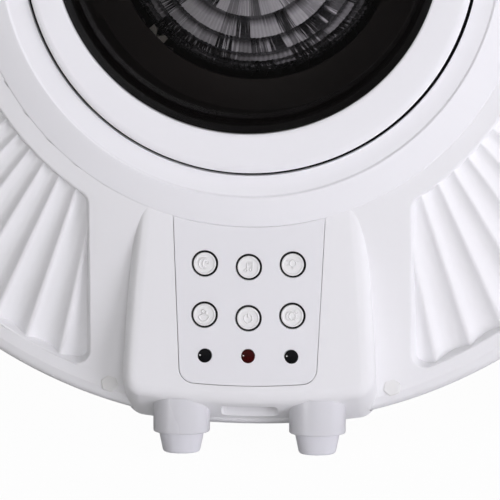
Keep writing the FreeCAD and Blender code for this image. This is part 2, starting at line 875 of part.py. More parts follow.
def console_cover():
    """White console cover with a pocket for the control plate and the port well in its underside."""
    outer = console_block().cut(front_envelope())
    cover = outer.cut(console_cavity())
    posts = [in_disc(drum(control_post_radius, board_top(), -plate_thickness - joint_clearance, place))
             for place in control_post_places()]
    bosses = [upright_bar(leg_boss_radius, side * leg_spacing, front_leg_height, leg_step_drop, front_boss_drop)
              for side in (-1, 1)]
    well = block(-port_recess_width / 2 - port_wall, port_recess_width / 2 + port_wall,
                 -leg_step_drop, -port_well_top, port_recess_low - port_wall, port_recess_high + port_wall)
    inside = [piece.common(outer) for piece in bosses + [well]]
    cover = fused([cover.cut(plate_window())] + inside + [post.common(outer) for post in posts])
    cover = cover.cut(plate_pocket()).cut(port_recess()).cut(port_chamber()).cut(port_mouth())
    for side in (-1, 1):
        cover = cover.cut(upright_bar(leg_screw_radius, side * leg_spacing, front_leg_height,
                                      leg_step_drop, front_boss_drop - overrun))
    return cover


def port_recess():
    """Upward recess in the underside for the plug's grip, with rounded corners."""
    recess = block(-port_recess_width / 2, port_recess_width / 2, -rim_radius, -port_recess_ceiling,
                   port_recess_low, port_recess_high)
    corners = [edge for edge in recess.Edges if abs(edge.tangentAt(edge.FirstParameter).y) > 0.999]
    return recess.makeFillet(port_recess_corner, corners)


def port_chamber():
    """Room above the recess ceiling for the socket."""
    return block(-port_recess_width / 2, port_recess_width / 2,
                 -port_recess_ceiling + port_ceiling_thickness, -port_well_top + overrun,
                 port_recess_low, port_recess_high)


def port_middle():
    """Height of the socket's centre line over the joint plane."""
    return (port_recess_low + port_recess_high) / 2


def port_bar(grow, low_drop, high_drop):
    """Flat bar with round ends in the shape of the socket's mouth."""
    half_height = port_mouth_height / 2 + grow
    half_width = port_mouth_width / 2 - port_mouth_height / 2
    middle = block(-half_width, half_width, -low_drop, -high_drop,
                   port_middle() - half_height, port_middle() + half_height)
    ends = [upright_bar(half_height, side * half_width, port_middle(), low_drop, high_drop)
            for side in (-1, 1)]
    return fused([middle] + ends)


def port_mouth():
    """Hole in the recess ceiling that the socket's shell fills."""
    return port_bar(port_shell_wall, port_recess_ceiling + overrun, port_recess_ceiling - 2 * overrun)


def port_socket():
    """Metal socket shell, closed at its inner end."""
    shell = port_bar(port_shell_wall, port_recess_ceiling, port_well_top)
    return shell.cut(port_bar(0, port_recess_ceiling + overrun, port_well_top + port_tongue_thickness))


def port_tongue():
    """Contact tongue in the middle of the socket."""
    return block(-port_tongue_width / 2, port_tongue_width / 2,
                 -port_recess_ceiling + port_tongue_thickness, -port_well_top - port_tongue_thickness,
                 port_middle() - port_tongue_thickness / 2, port_middle() + port_tongue_thickness / 2)


def port_board():
    """Small board that closes the well and carries the socket."""
    half = port_recess_width / 2 + port_wall
    return block(-half, half, -port_well_top, -port_well_top + port_board_thickness,
                 port_recess_low - port_wall, port_recess_high)


def control_plate():
    """Inset plate with six button holes, three window holes and a fine bevel at its edge."""
    plate = in_disc(plate_prism(0, -plate_thickness, 0))
    plate = plate.cut(drum(collar_radius + plate_top_gap, -console_depth, dome_apex))
    holes = [in_disc(drum(button_hole_radius, -console_depth / 2, overrun, place)) for place in button_places()]
    holes += [in_disc(drum(window_radius, -console_depth / 2, overrun, place)) for place in window_places()]
    return plate.cut(Part.makeCompound(holes))


def button_cap(place):
    """Round cap with a softened edge, a hidden flange and a stem that meets its switch."""
    low = cap_stem_low()
    flange = flange_top()
    cap = turned([(0, low), (button_stem_radius, low),
                  (button_stem_radius, flange - button_flange_thickness),
                  (button_flange_radius, flange - button_flange_thickness), (button_flange_radius, flange),
                  (button_radius, flange), (button_radius, button_proud - button_edge),
                  (button_radius - button_edge, button_proud), (0, button_proud)])
    cap.translate(place)
    return in_disc(cap)


def tact_switches():
    """Six switch bodies with round plungers on the control board."""
    solids = []
    for place in button_places():
        half = switch_width / 2
        body = block(place.x - half, place.x + half, place.y - half, place.y + half, board_top(), switch_top())
        plunger = drum(plunger_radius, switch_top(), switch_top() + plunger_height, place)
        solids.append(in_disc(fused([body, plunger])))
    return Part.makeCompound(solids)


def control_board():
    """Circuit board behind the buttons."""
    return in_disc(block(-control_board_half_width, control_board_half_width,
                         -control_board_bottom, -control_board_top,
                         board_top() - control_board_thickness, board_top()))


def small_window(place):
    """Round light pipe from the control board to the plate, with a domed end."""
    low = board_top()
    mid = arc_middle(window_radius, window_proud, 0)
    pipe = turned([(0, low), (window_radius, low), (window_radius, 0), (0, window_proud, mid[0], mid[1])])
    pipe.translate(place)
    return in_disc(pipe)


# Legs

def leg_top_cut():
    """Everything a leg must stop at."""
    return front_envelope().fuse([rear_envelope(), console_block()])


def leg(side, height, top_drop):
    """Stub leg whose top follows the housing, with a screw hole and a socket for its foot."""
    body = upright_bar(leg_radius, side * leg_spacing, height, leg_step_drop, top_drop)
    ring = [edge for edge in body.Edges if all(abs(vertex.Point.y + leg_step_drop) < joint_clearance
                                               for vertex in edge.Vertexes)]
    body = body.makeFillet(leg_edge, [edge for edge in ring if edge.Length > leg_radius * math.pi])
    body = body.cut(leg_top_cut())
    body = max(body.Solids, key=lambda solid: solid.Volume)
    screw = upright_bar(leg_screw_radius, side * leg_spacing, height,
                        leg_screw_end(height), top_drop - overrun)
    socket = upright_bar(foot_socket_radius, side * leg_spacing, height,
                         leg_step_drop + overrun, leg_step_drop - foot_socket_depth)
    return body.cut(screw).cut(socket)


def leg_screw_end(height):
    """Level of the lower end of a leg's screw."""
    return leg_step_drop - foot_socket_depth - joint_clearance


def foot_tip(side, height):
    """Tapered soft tip with a plug that fills the leg's socket."""
    x = side * leg_spacing
    taper = upright_bar(foot_bottom_radius, x, height, floor_drop, leg_step_drop, foot_top_radius)
    ring = [edge for edge in taper.Edges if all(abs(vertex.Point.y + floor_drop) < joint_clearance
                                                for vertex in edge.Vertexes)]
    taper = taper.makeFillet(foot_edge, [edge for edge in ring if edge.Length > foot_bottom_radius * math.pi])
    plug = upright_bar(foot_socket_radius, x, height, leg_step_drop + foot_edge,
                       leg_step_drop - foot_socket_depth + joint_clearance)
    return fused([taper, plug])


def leg_screws():
    """Four screws that hold the legs, driven from inside the housing."""
    solids = []
    for height, boss_drop in ((front_leg_height, front_boss_drop), (rear_leg_height, rear_boss_drop)):
        for side in (-1, 1):
            shank = upright_bar(leg_screw_radius, side * leg_spacing, height, leg_screw_end(height), boss_drop)
            head = upright_bar(leg_screw_head_radius, side * leg_spacing, height,
                               boss_drop, boss_drop - leg_screw_head_height)
            solids.append(fused([shank, head]))
    return Part.makeCompound(solids)


def hex_bolts():
    """Six hex bolts through the front shell into the rear shell's bosses."""
    solids = []
    for number, place in enumerate(bolt_places()):
        head = bolt_prism(number, 0, bolt_seat_height + bolt_head_height)
        shank = drum(bolt_radius, bolt_seat_height - bolt_length, bolt_seat_height, place)
        solids.append(fused([head, shank]))
    return Part.makeCompound(solids)


# Light engine

def crown_distance(teeth):
    """Centre distance of a small gear from the crown gear."""
    return (crown_teeth + teeth) * gear_module / 2 + gear_backlash


def star_distance():
    """Distance of the star wheel from the disc's axis."""
    return crown_distance(star_teeth)


def engine_base():
    """Round carrier plate with four arms and the tube that the crystal turns on."""
    low = base_top - base_thickness
    plate = drum(base_radius, low, base_top)
    arms = []
    for place in post_places():
        arm = block(0, base_post_radius_position, -base_arm_width / 2, base_arm_width / 2, low, base_top)
        arms.append(spun(arm, math.degrees(math.atan2(place.y, place.x))))
        arms.append(drum(base_arm_width / 2, low, base_top, place))
    hub = drum(hub_radius, low, hub_top)
    ledge = drum(thrust_ledge_radius, low, base_top + thrust_ledge_height)
    base = fused([plate, hub, ledge] + arms)
    base = base.cut(drum(hub_ledge_bore, base_top, hub_top + overrun))
    base = base.cut(drum(hub_bore, hub_ledge_height, hub_top + overrun))
    base = base.cut(drum(motor_boss_radius, low - overrun, base_top + overrun, pinion_place()))
    base = base.cut(drum(laser_bore, low - overrun, base_top + overrun, beam_place()))
    base = base.cut(drum(star_pin_radius, low - overrun, base_top + overrun, star_place()))
    for place in post_places():
        base = base.cut(drum(post_screw_radius + bolt_clearance, low - overrun, base_top + overrun, place))
    return base


def pinion_place():
    """Centre of the drive pinion."""
    return polar(crown_distance(pinion_teeth), pinion_angle)


def star_place():
    """Centre of the star wheel."""
    return polar(star_distance(), star_angle)


def beam_place():
    """Where the laser beam meets the star wheel."""
    return polar(star_distance() - laser_beam_offset, star_angle)


def post_screws():
    """Screws that hold the light engine to the posts."""
    low = base_top - base_thickness
    solids = []
    for place in post_places():
        shank = drum(post_screw_radius, low, low + post_screw_length, place)
        head = drum(post_screw_head_radius, low - post_screw_head_height, low, place)
        solids.append(fused([shank, head]))
    return Part.makeCompound(solids)


def gear_blank(teeth, tooth_angle, low, high):
    """Toothed wheel with one tooth centred on an angle: straight flanks, thinned for backlash."""
    pitch_radius = teeth * gear_module / 2
    tip = pitch_radius + gear_module * tooth_height_share
    root = pitch_radius - gear_module * tooth_root_share
    half_tooth = math.pi * gear_module * tooth_share / 2
    lean = math.tan(math.radians(flank_angle))
    step = full_turn / teeth
    corners = []
    for number in range(teeth):
        centre = tooth_angle + step * number
        for radius, side in ((root, -1), (tip, -1), (tip, 1), (root, 1)):
            half_width = half_tooth - (radius - pitch_radius) * lean
            corners.append(polar(radius, centre + side * math.degrees(half_width / radius), low))
    return Part.Face(Part.makePolygon(corners + corners[:1])).extrude(Vector(0, 0, high - low))


def gear_low():
    """Lower face of the gears."""
    return base_top + thrust_ledge_height + running_gap


def crown_gear():
    """Ring gear that carries the crystal and turns on the hub tube."""
    low = gear_low()
    high = hub_top - retainer_thickness - running_gap - joint_clearance
    toothed = gear_blank(crown_teeth, pinion_angle, low, low + gear_thickness)
    seat = drum(crystal_radius, low, high)
    ring = fused([toothed, seat])
    return ring.cut(drum(hub_radius + bearing_clearance, low - overrun, high + overrun))


def crystal_seat():
    """Height at which the crystal stands on the crown gear."""
    return hub_top - retainer_thickness - running_gap - joint_clearance


def hub_retainer():
    """Ring pressed on the hub tube that keeps the crown gear down."""
    return tube(retainer_radius, hub_radius, hub_top - retainer_thickness, hub_top)


def tooth_phase(teeth, centre_angle):
    """Angle of a tooth such that a gap faces the crown gear's tooth on the line of centres."""
    return centre_angle + half_turn + full_turn / teeth / 2


def drive_pinion():
    """Small gear on the motor's shaft."""
    place = pinion_place()
    pinion = gear_blank(pinion_teeth, tooth_phase(pinion_teeth, pinion_angle), gear_low(), gear_low() + gear_thickness)
    pinion.translate(place)
    return pinion.cut(drum(pinion_shaft_radius, -base_radius, base_radius, place))


def motor_shaft():
    """Steel shaft from the motor through the pinion."""
    return drum(pinion_shaft_radius, base_top - shaft_depth, gear_low() + gear_thickness, pinion_place())


def gear_motor():
    """Round geared motor with two ears under the carrier plate and a bearing boss through it."""
    low = base_top - base_thickness
    place = pinion_place()
    can = drum(motor_radius, low - motor_depth, low, place)
    boss = drum(motor_boss_radius, low, base_top, place)
    ear = block(-motor_ear_reach, motor_ear_reach, -motor_ear_width / 2, motor_ear_width / 2,
                low - motor_ear_thickness, low)
    ear = spun(ear, pinion_angle + quarter_turn)
    ear.translate(place)
    motor = fused([can, boss, ear])
    return motor.cut(drum(pinion_shaft_radius + shaft_clearance, base_top - shaft_depth - running_gap,
                          base_top + overrun, place))


def crown_phase_at(angle):
    """Offset from an angle to the crown gear's nearest tooth."""
    step = full_turn / crown_teeth
    return (pinion_angle - angle) % step


def star_gear():
    """Driven gear whose open web carries the star film."""
    place = star_place()
    phase = crown_phase_at(star_angle) * crown_teeth / star_teeth
    tooth_angle = tooth_phase(star_teeth, star_angle) - phase
    low = gear_low()
    high = low + star_gear_thickness
    gear = gear_blank(star_teeth, tooth_angle, low, high)
    window = tube(star_window_outer, star_window_inner, low - overrun, high + overrun)
    webs = [spun(block(0, star_window_outer + overrun, -star_web_width / 2, star_web_width / 2,
                       low - 2 * overrun, high + 2 * overrun), full_turn / 3 * number) for number in range(3)]
    gear = gear.cut(window.cut(fused(webs)))
    gear = gear.cut(drum(star_pin_radius + shaft_clearance, low - overrun, high + overrun))
    gear.translate(place)
    return gear


def star_film():
    """Clear grating disc on the star gear."""
    low = gear_low() + star_gear_thickness
    return tube(star_film_radius, star_pin_radius + shaft_clearance, low, low + star_film_thickness, star_place())


def star_pin():
    """Pin with a shoulder below and a head above that the star gear turns on."""
    place = star_place()
    low = gear_low()
    top = low + star_gear_thickness + star_film_thickness
    shoulder = drum(2 * star_pin_radius, base_top, low - running_gap / 2, place)
    pin = drum(star_pin_radius, base_top - base_thickness, top + 2 * running_gap, place)
    head = drum(2 * star_pin_radius, top + running_gap, top + 3 * running_gap, place)
    return fused([shoulder, pin, head])


def crystal_ring(tier_radius, height, phase):
    """Regular polygon of the crystal at one level."""
    step = full_turn / crystal_sides
    corners = [polar(tier_radius, phase + step * number, height) for number in range(crystal_sides)]
    return Part.makePolygon(corners + corners[:1])


def crystal_dome():
    """Clear hollow dome cut in tiers of flat facets, each tier stepped in from the one below."""
    seat = crystal_seat()
    step = full_turn / crystal_sides
    tiers = []
    levels = [math.radians(angle) for angle in crystal_tier_angles]
    for number, (low_angle, high_angle) in enumerate(zip(levels[:-1], levels[1:])):
        low_radius = crystal_radius * math.sin(low_angle)
        high_radius = crystal_radius * math.sin(high_angle) + crystal_step
        phase = step / 2 * (number % 2)
        low = seat + crystal_radius * math.cos(low_angle)
        high = seat + crystal_radius * math.cos(high_angle)
        tiers.append(Part.makeLoft([crystal_ring(low_radius, low, phase),
                                    crystal_ring(min(high_radius, low_radius), high, phase)], True, True))
    top_angle = levels[-1]
    top = seat + crystal_radius * math.cos(top_angle)
    tiers.append(Part.makeCone(crystal_radius * math.sin(top_angle), 0, crystal_cap_height,
                               Vector(0, 0, top)))
    dome = fused(tiers)
    inner = crystal_radius - crystal_wall
    hollow = Part.makeSphere(inner, Vector(0, 0, seat))
    return dome.cut(hollow)


def led_board():
    """Round metal board in the bottom of the hub tube."""
    return drum(led_board_radius, base_top, base_top + led_board_thickness)


def led_emitters():
    """Four lamp chips with small domes."""
    low = base_top + led_board_thickness
    half = emitter_width / 2
    solids = []
    for number in range(emitter_count):
        body = block(emitter_offset - half, emitter_offset + half, -half, half, low, low + emitter_height)
        bead = Part.makeSphere(emitter_dome_radius, Vector(emitter_offset, 0, low + emitter_height))
        bead = bead.common(block(0, hub_radius, -half, half, low + emitter_height / 2, base_top + hub_radius))
        solids.append(spun(fused([body, bead]), full_turn / emitter_count * (number + 1 / 2)))
    return Part.makeCompound(solids)


def condenser_lens():
    """Plano-convex lens on the ledge in the hub tube."""
    edge = hub_ledge_height + condenser_edge
    mid = arc_middle(condenser_radius, condenser_rise, edge)
    return turned([(0, hub_ledge_height), (condenser_radius, hub_ledge_height), (condenser_radius, edge),
                   (0, edge + condenser_rise, mid[0], mid[1])])


def heat_sink():
    """Finned round heat sink on the back of the carrier plate."""
    top = base_top - base_thickness
    outline = drum(sink_radius, top - sink_depth, top)
    fins = []
    for number in range(sink_fin_count):
        x = (number - (sink_fin_count - 1) / 2) * sink_fin_pitch
        fins.append(block(x - sink_fin_thickness / 2, x + sink_fin_thickness / 2, -sink_radius, sink_radius,
                          top - sink_depth, top - sink_base / 2))
    return fused([drum(sink_radius, top - sink_base, top)] + [fin.common(outline) for fin in fins])


def laser_module():
    """Brass laser barrel with a flange against the carrier plate."""
    top = base_top - base_thickness
    barrel = drum(laser_radius, top - laser_depth, top, beam_place())
    flange = drum(laser_flange_radius, top - laser_flange_thickness, top, beam_place())
    bore = drum(laser_bore, top - laser_depth / 2, top + overrun, beam_place())
    return fused([barrel, flange]).cut(bore)


# Boards and speaker

def main_board_places():
    """Places of the main board's four bosses."""
    x = main_board_half_width - main_board_inset
    return [Vector(side * x, y, 0) for side in (-1, 1)
            for y in (-main_board_low + main_board_inset, -main_board_high - main_board_inset)]


def main_board():
    """Main circuit board on the rear shell's bosses."""
    return block(-main_board_half_width, main_board_half_width, -main_board_low, -main_board_high,
                 main_board_height, main_board_height + main_board_thickness)


def board_chips():
    """Packages on the main board."""
    top = main_board_height + main_board_thickness
    solids = []
    for (width, length, height), (x_share, y_share) in zip(chip_sizes, chip_places_share):
        x = x_share * main_board_half_width
        y = -main_board_high - y_share * (main_board_low - main_board_high)
        solids.append(block(x - width / 2, x + width / 2, y - length / 2, y + length / 2, top, top + height))
    return Part.makeCompound(solids)


def speaker_frame():
    """Round speaker basket with its rim on the flat back and the magnet at its inner end."""
    seat = speaker_seat()
    magnet_low = seat + speaker_depth - speaker_magnet_height
    rim_inner = speaker_radius - speaker_rim
    wall = speaker_rim_thickness
    return turned([(0, seat + speaker_depth), (speaker_magnet_radius, seat + speaker_depth),
                   (speaker_magnet_radius, magnet_low + wall), (rim_inner, seat + wall),
                   (speaker_radius, seat + wall), (speaker_radius, seat), (rim_inner, seat),
                   (rim_inner - wall, seat + wall / 2), (speaker_magnet_radius - wall, magnet_low),
                   (0, magnet_low)])


def speaker_cone():
    """Paper cone with a dust cap inside the basket."""
    seat = speaker_seat()
    rim_inner = speaker_radius - speaker_rim
    wall = speaker_cone_wall
    foot = speaker_magnet_radius / 2
    depth = speaker_depth - speaker_magnet_height - wall
    return turned([(0, seat + depth - wall), (foot, seat + depth - wall), (rim_inner - 2 * wall, seat),
                   (rim_inner, seat), (rim_inner - 3 * wall, seat + wall), (foot, seat + depth), (0, seat + depth)])


def side_name(number):
    """Name of a flute panel by its place on the face."""
    return ("right", "top", "left")[number]


def parts():
    """All nodes with their shapes in the disc's frame."""
    nodes = {
        "front_shell": front_shell(),
        "rear_shell": rear_shell(),
        "collar_ring": collar_ring(),
        "lens_ring": lens_ring(),
        "gap_seal": gap_seal(),
        "smoked_dome": smoked_dome(),
        "inner_shroud": inner_shroud(),
        "console_cover": console_cover(),
        "control_plate": control_plate(),
        "control_board": control_board(),
        "tact_switches": tact_switches(),
        "port_socket": port_socket(),
        "port_tongue": port_tongue(),
        "port_board": port_board(),
        "leg_screws": leg_screws(),
        "hex_bolts": hex_bolts(),
        "engine_base": engine_base(),
        "post_screws": post_screws(),
        "crown_gear": crown_gear(),
        "hub_retainer": hub_retainer(),
        "drive_pinion": drive_pinion(),
        "motor_shaft": motor_shaft(),
        "gear_motor": gear_motor(),
        "star_gear": star_gear(),
        "star_film": star_film(),
        "star_pin": star_pin(),
        "crystal_dome": crystal_dome(),
        "led_board": led_board(),
        "led_emitters": led_emitters(),
        "condenser_lens": condenser_lens(),
        "heat_sink": heat_sink(),
        "laser_module": laser_module(),
        "main_board": main_board(),
        "board_chips": board_chips(),
        "speaker_frame": speaker_frame(),
        "speaker_cone": speaker_cone(),
    }
    panel = flute_panel()
    for number in range(spoke_count):
        nodes["flute_panel_" + side_name(number)] = spun(panel, number * spoke_step)
    for name, place in zip(("moon", "music", "lamp", "timer", "power", "stars"), button_places()):
        nodes["button_" + name] = button_cap(place)
    for name, place in zip(("infrared_window", "indicator_light", "sensor_window"), window_places()):
        nodes[name] = small_window(place)
    for side, side_word in ((-1, "left"), (1, "right")):
        nodes["front_leg_" + side_word] = leg(side, front_leg_height, front_leg_top_drop)
        nodes["rear_leg_" + side_word] = leg(side, rear_leg_height, rear_leg_top_drop)
        nodes["front_foot_" + side_word] = foot_tip(side, front_leg_height)
        nodes["rear_foot_" + side_word] = foot_tip(side, rear_leg_height)
    return nodes


def main():
    """Write one file per node."""
    os.makedirs("parts", exist_ok=True)
    for name, shape in parts().items():
        upright(shape).exportStep(os.path.join("parts", name + ".step"))
        print(name, len(shape.Solids), round(shape.Volume, 1), shape.isValid())


main()
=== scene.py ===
# %% [markdown]
# # A table-top planetarium projector
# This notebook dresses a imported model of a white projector: a disc that stands upright on stub
# legs, with a smoked dome in its middle, fans of tapering flutes and a small console.
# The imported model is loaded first. It never moves: every new piece is worked out around it.

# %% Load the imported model
import math

import bmesh
import bpy
import numpy as np
from mathutils import Matrix, Vector


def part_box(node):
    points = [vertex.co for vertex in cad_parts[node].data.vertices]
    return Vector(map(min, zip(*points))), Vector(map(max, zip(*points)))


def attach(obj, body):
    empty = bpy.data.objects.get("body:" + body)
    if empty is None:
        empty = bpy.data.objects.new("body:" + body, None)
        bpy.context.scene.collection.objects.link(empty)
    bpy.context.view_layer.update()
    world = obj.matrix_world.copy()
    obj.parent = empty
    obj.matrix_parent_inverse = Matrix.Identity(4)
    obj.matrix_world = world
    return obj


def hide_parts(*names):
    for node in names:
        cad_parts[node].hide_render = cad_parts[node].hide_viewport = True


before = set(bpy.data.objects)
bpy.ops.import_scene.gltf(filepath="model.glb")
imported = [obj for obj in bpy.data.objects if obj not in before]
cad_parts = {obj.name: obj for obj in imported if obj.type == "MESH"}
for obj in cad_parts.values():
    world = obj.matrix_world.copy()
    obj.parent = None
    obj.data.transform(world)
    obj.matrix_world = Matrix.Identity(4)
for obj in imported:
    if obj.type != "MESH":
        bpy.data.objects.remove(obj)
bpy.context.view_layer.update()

# %% [markdown]
# ## The disc's own frame
# The projector stands upright, but its rings are easier to describe lying down: x to the right,
# y up the face and z out of the face, in millimetres, with z = 0 where the two shells meet.
# One function stands such points up and turns them to metres. The disc's height, its rim and the
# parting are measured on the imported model, so nothing is fitted by eye.

# %% Stand points up
MM = 0.001
shell_low, shell_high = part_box("front_shell")
rim_radius = (shell_high.x - shell_low.x) / 2 / MM
disc_height = (shell_high.z + shell_low.z) / 2 / MM
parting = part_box("rear_shell")[0].y / MM


def stand(points):
    """World point = (x, parting - z, y + disc height), in metres."""
    x, y, z = np.moveaxis(np.asarray(points, float), -1, 0)
    return np.stack([x, parting - z, y + disc_height], axis=-1) * MM


print("rim radius", round(rim_radius, 2), "disc height", round(disc_height, 2), "parting", round(parting, 2))

# %% [markdown]
# ## Grids become pieces
# Every new surface here is a grid: rows and columns of points worked out as whole arrays. A piece
# may be made of several grids that share their edges. Doubled points are merged, which closes the
# seams and poles, and the normals are then turned outwards. A closed shell knows its outside. An
# open one is given a direction that it should face.

# %% Make a piece from grids


def grid_quads(rows, columns, wrap_rows, wrap_columns):
    """Quad (i, j) joins the points (i, j), (i, j+1), (i+1, j+1) and (i+1, j), going round where wrapped."""
    i, j = np.meshgrid(np.arange(rows if wrap_rows else rows - 1),
                       np.arange(columns if wrap_columns else columns - 1), indexing="ij")
    below, beside = (i + 1) % rows, (j + 1) % columns
    return np.stack([i * columns + j, i * columns + beside, below * columns + beside, below * columns + j],
                    axis=-1).reshape(-1, 4)


def piece(name, grids, body, material, stands_for=(), faces=None, crease=30.0, place=stand):
    """Grids are (points, wrap_rows, wrap_columns). The texture map holds each corner's column and row number."""
    vertices, quads, maps, count = [], [], [], 0
    for points, wrap_rows, wrap_columns in grids:
        rows, columns = points.shape[:2]
        vertices.append(place(points).reshape(-1, 3))
        corners = grid_quads(rows, columns, wrap_rows, wrap_columns)
        first = np.stack([corners[:, 0] % columns, corners[:, 0] // columns], axis=-1)
        maps.append(first[:, None, :] + np.array([(0, 0), (1, 0), (1, 1), (0, 1)])[None])
        quads.append(corners + count)
        count += rows * columns
    mesh = bpy.data.meshes.new(name)
    mesh.from_pydata(np.concatenate(vertices), [], np.concatenate(quads))
    mesh.uv_layers.new(name="grid").data.foreach_set("uv", np.concatenate(maps).astype(float).ravel())
    return dress(name, mesh, body, material, stands_for, faces, crease)


print("quads of a 3 by 4 grid", len(grid_quads(3, 4, False, False)))

# %% [markdown]
# ## Dressing
# Every mesh, from a grid or from a imported node, goes through the same steps: it is cleaned, gets
# its material and its creases, and rides on a body of the imported model, so that it moves with it.
# A piece that takes a imported node's place says so, and that node is hidden.

# %% Dress a piece


def dress(name, mesh, body, material, stands_for=(), faces=None, crease=30.0, merge=1e-7, flat=0.0):
    """Merge points, join flat faces, turn all faces outwards, mark creases, and put the piece on its body."""
    shape = bmesh.new()
    shape.from_mesh(mesh)
    bmesh.ops.remove_doubles(shape, verts=shape.verts, dist=merge)
    if flat:
        bmesh.ops.dissolve_limit(shape, angle_limit=math.radians(flat), verts=shape.verts, edges=shape.edges)
    bmesh.ops.dissolve_degenerate(shape, edges=shape.edges, dist=merge)
    bmesh.ops.recalc_face_normals(shape, faces=shape.faces)
    if faces is not None:
        towards = sum(face.normal.dot(faces) * face.calc_area() for face in shape.faces)
        if towards < 0:
            bmesh.ops.reverse_faces(shape, faces=shape.faces)
    shape.to_mesh(mesh)
    shape.free()
    mesh.shade_smooth()
    mesh.set_sharp_from_angle(angle=math.radians(crease))
    mesh.materials.clear()
    mesh.materials.append(material)
    thing = bpy.data.objects.new(name, mesh)
    bpy.context.scene.collection.objects.link(thing)
    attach(thing, body)
    if stands_for:
        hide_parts(*stands_for)
    print(name, len(mesh.vertices), "points", len(mesh.polygons), "faces")
    return thing


# %% [markdown]
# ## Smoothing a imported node
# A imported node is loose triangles. A copy of it is merged, its flat faces are joined, and a small
# bevel takes the sharpness off its edges. A narrow bevel is held back where edges are too short
# for it, and the bolts' wider one is not.

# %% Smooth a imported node
packed_crease, packed_merge, packed_flat, widest_clamped_bevel = 25.0, 2e-6, 0.6, 0.3


def smoothed(packed, material, slot, bevel_mm):
    """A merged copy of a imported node. Flat faces are joined, and normals follow the larger faces."""
    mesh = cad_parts[packed].data.copy()
    copy = dress(packed + "_finish", mesh, "housing", material, (packed,), crease=packed_crease,
                 merge=packed_merge, flat=packed_flat)
    if bevel_mm:
        soften = copy.modifiers.new("soften", "BEVEL")
        soften.width, soften.segments = bevel_mm * MM, 3
        soften.limit_method, soften.angle_limit = "ANGLE", math.radians(40)
        soften.use_clamp_overlap = bevel_mm < widest_clamped_bevel
    weigh = copy.modifiers.new("weigh", "WEIGHTED_NORMAL")
    weigh.keep_sharp, weigh.weight = True, 50


print("points of one packed node join within", packed_merge / MM, "mm")

# %% [markdown]
# ## Profiles and loops
# A ring is a profile carried round the axis. Real moulded edges are never sharp, so each corner of
# a profile is eased: the corner point becomes the control point of a short quadratic curve.

# %% Profiles, rings and bars


def eased(corners, radii, steps=6, closed=True):
    """Each corner C becomes (1-t)^2 A + 2t(1-t) C + t^2 B, with A and B a radius back along its two sides."""
    corners = np.asarray(corners, float)
    before, after = np.roll(corners, 1, axis=0), np.roll(corners, -1, axis=0)
    back, ahead = before - corners, after - corners
    reach_back, reach_ahead = np.linalg.norm(back, axis=1), np.linalg.norm(ahead, axis=1)
    cut = np.minimum(np.broadcast_to(radii, len(corners)), 0.45 * np.minimum(reach_back, reach_ahead))
    if not closed:
        cut = cut.copy()
        cut[[0, -1]] = 0
    start = corners + back * (cut / np.maximum(reach_back, 1e-9))[:, None]
    end = corners + ahead * (cut / np.maximum(reach_ahead, 1e-9))[:, None]
    t = np.linspace(0, 1, steps)[None, :, None]
    curve = (1 - t) ** 2 * start[:, None] + 2 * t * (1 - t) * corners[:, None] + t ** 2 * end[:, None]
    return curve.reshape(-1, corners.shape[1])


def ring(profile, segments=256, wrap=True):
    """Point (i, j) = (r_i cos a_j, r_i sin a_j, z_i) for the profile's (r, z) and evenly spaced angles a."""
    angle = np.linspace(0, 2 * np.pi, segments, endpoint=False)[None, :]
    r, z = profile[:, :1], profile[:, 1:]
    return np.stack([r * np.cos(angle), r * np.sin(angle), z + 0 * angle], axis=-1), wrap, True


def bar(profile, x, z, segments=96):
    """Upright turned bar: point (i, j) = (x + r_i cos a_j, level_i, z + r_i sin a_j)."""
    points, wrap, around = ring(profile, segments)
    turned = np.stack([points[..., 0] + x, points[..., 2], points[..., 1] + z], axis=-1)
    return turned, wrap, around


print("eased corner", eased([(0, 0), (1, 0), (1, 1), (0, 1)], 0.2, 3)[:3].round(2).tolist())

# %% [markdown]
# ## Colours and nodes
# Colours are written as sRGB hex, the way that a paint chart gives them, and one function turns
# them to the linear values that the renderer adds and multiplies. Another adds a node with its
# settings, values and links in one call.

# %% Colour and node helpers


def linear(code):
    """sRGB to linear: c / 12.92 below 0.04045, and ((c + 0.055) / 1.055) ^ 2.4 above it."""
    value = np.array([int(code[i:i + 2], 16) for i in (1, 3, 5)]) / 255
    value = np.where(value <= 0.04045, value / 12.92, ((value + 0.055) / 1.055) ** 2.4)
    return (*value.tolist(), 1.0)


def scaled(colour, factor):
    """A linear colour times a factor, at most 1 in each channel."""
    return (*(min(1.0, c * factor) for c in colour[:3]), 1.0)


def node(tree, kind, inputs=None, **settings):
    """Add a node. Settings are its attributes. An input is linked where it is given an output, or else set."""
    made = tree.nodes.new(kind)
    for key, value in settings.items():
        setattr(made, key, value)
    for key, value in (inputs or {}).items():
        if isinstance(value, bpy.types.NodeSocket):
            tree.links.new(value, made.inputs[key])
        else:
            made.inputs[key].default_value = value
    return made


def new_material(name):
    """An empty node material."""
    material = bpy.data.materials.new(name)
    material.use_nodes = True
    material.node_tree.nodes.clear()
    return material, material.node_tree


print("mid grey", [round(v, 3) for v in linear("#808080")])

# %% [markdown]
# ## Moulded plastic
# The case is injection-moulded ABS. Its mould is spark-eroded, which prints a fine grain of about
# a third of a millimetre. That is one or two pixels here, so it shows as a faint break-up of the
# shine rather than as dots. The colour drifts by about one per cent where the melt cooled
# unevenly, and a handling speck sits here and there. The keys stand in round holes, and the narrow
# gap around each lies in shade, so their plastic gets painted shade: it is painted darker with
# depth below the console's front.

# %% Moulded plastic material
cloud_mm, roughness_drift, grain_strength, abs_index = 35, 0.04, 0.25, 1.54
speck_cell_mm, speck_radii, speck_rarity = 9, (0.014, 0.03), 0.62
console_tilt = math.radians(3.0)
console_pivot = (-61.0, 17.1)
console_inward = (0.0, math.cos(console_tilt), -math.sin(console_tilt))
console_start = float(np.dot(stand((0.0, *console_pivot)), console_inward))


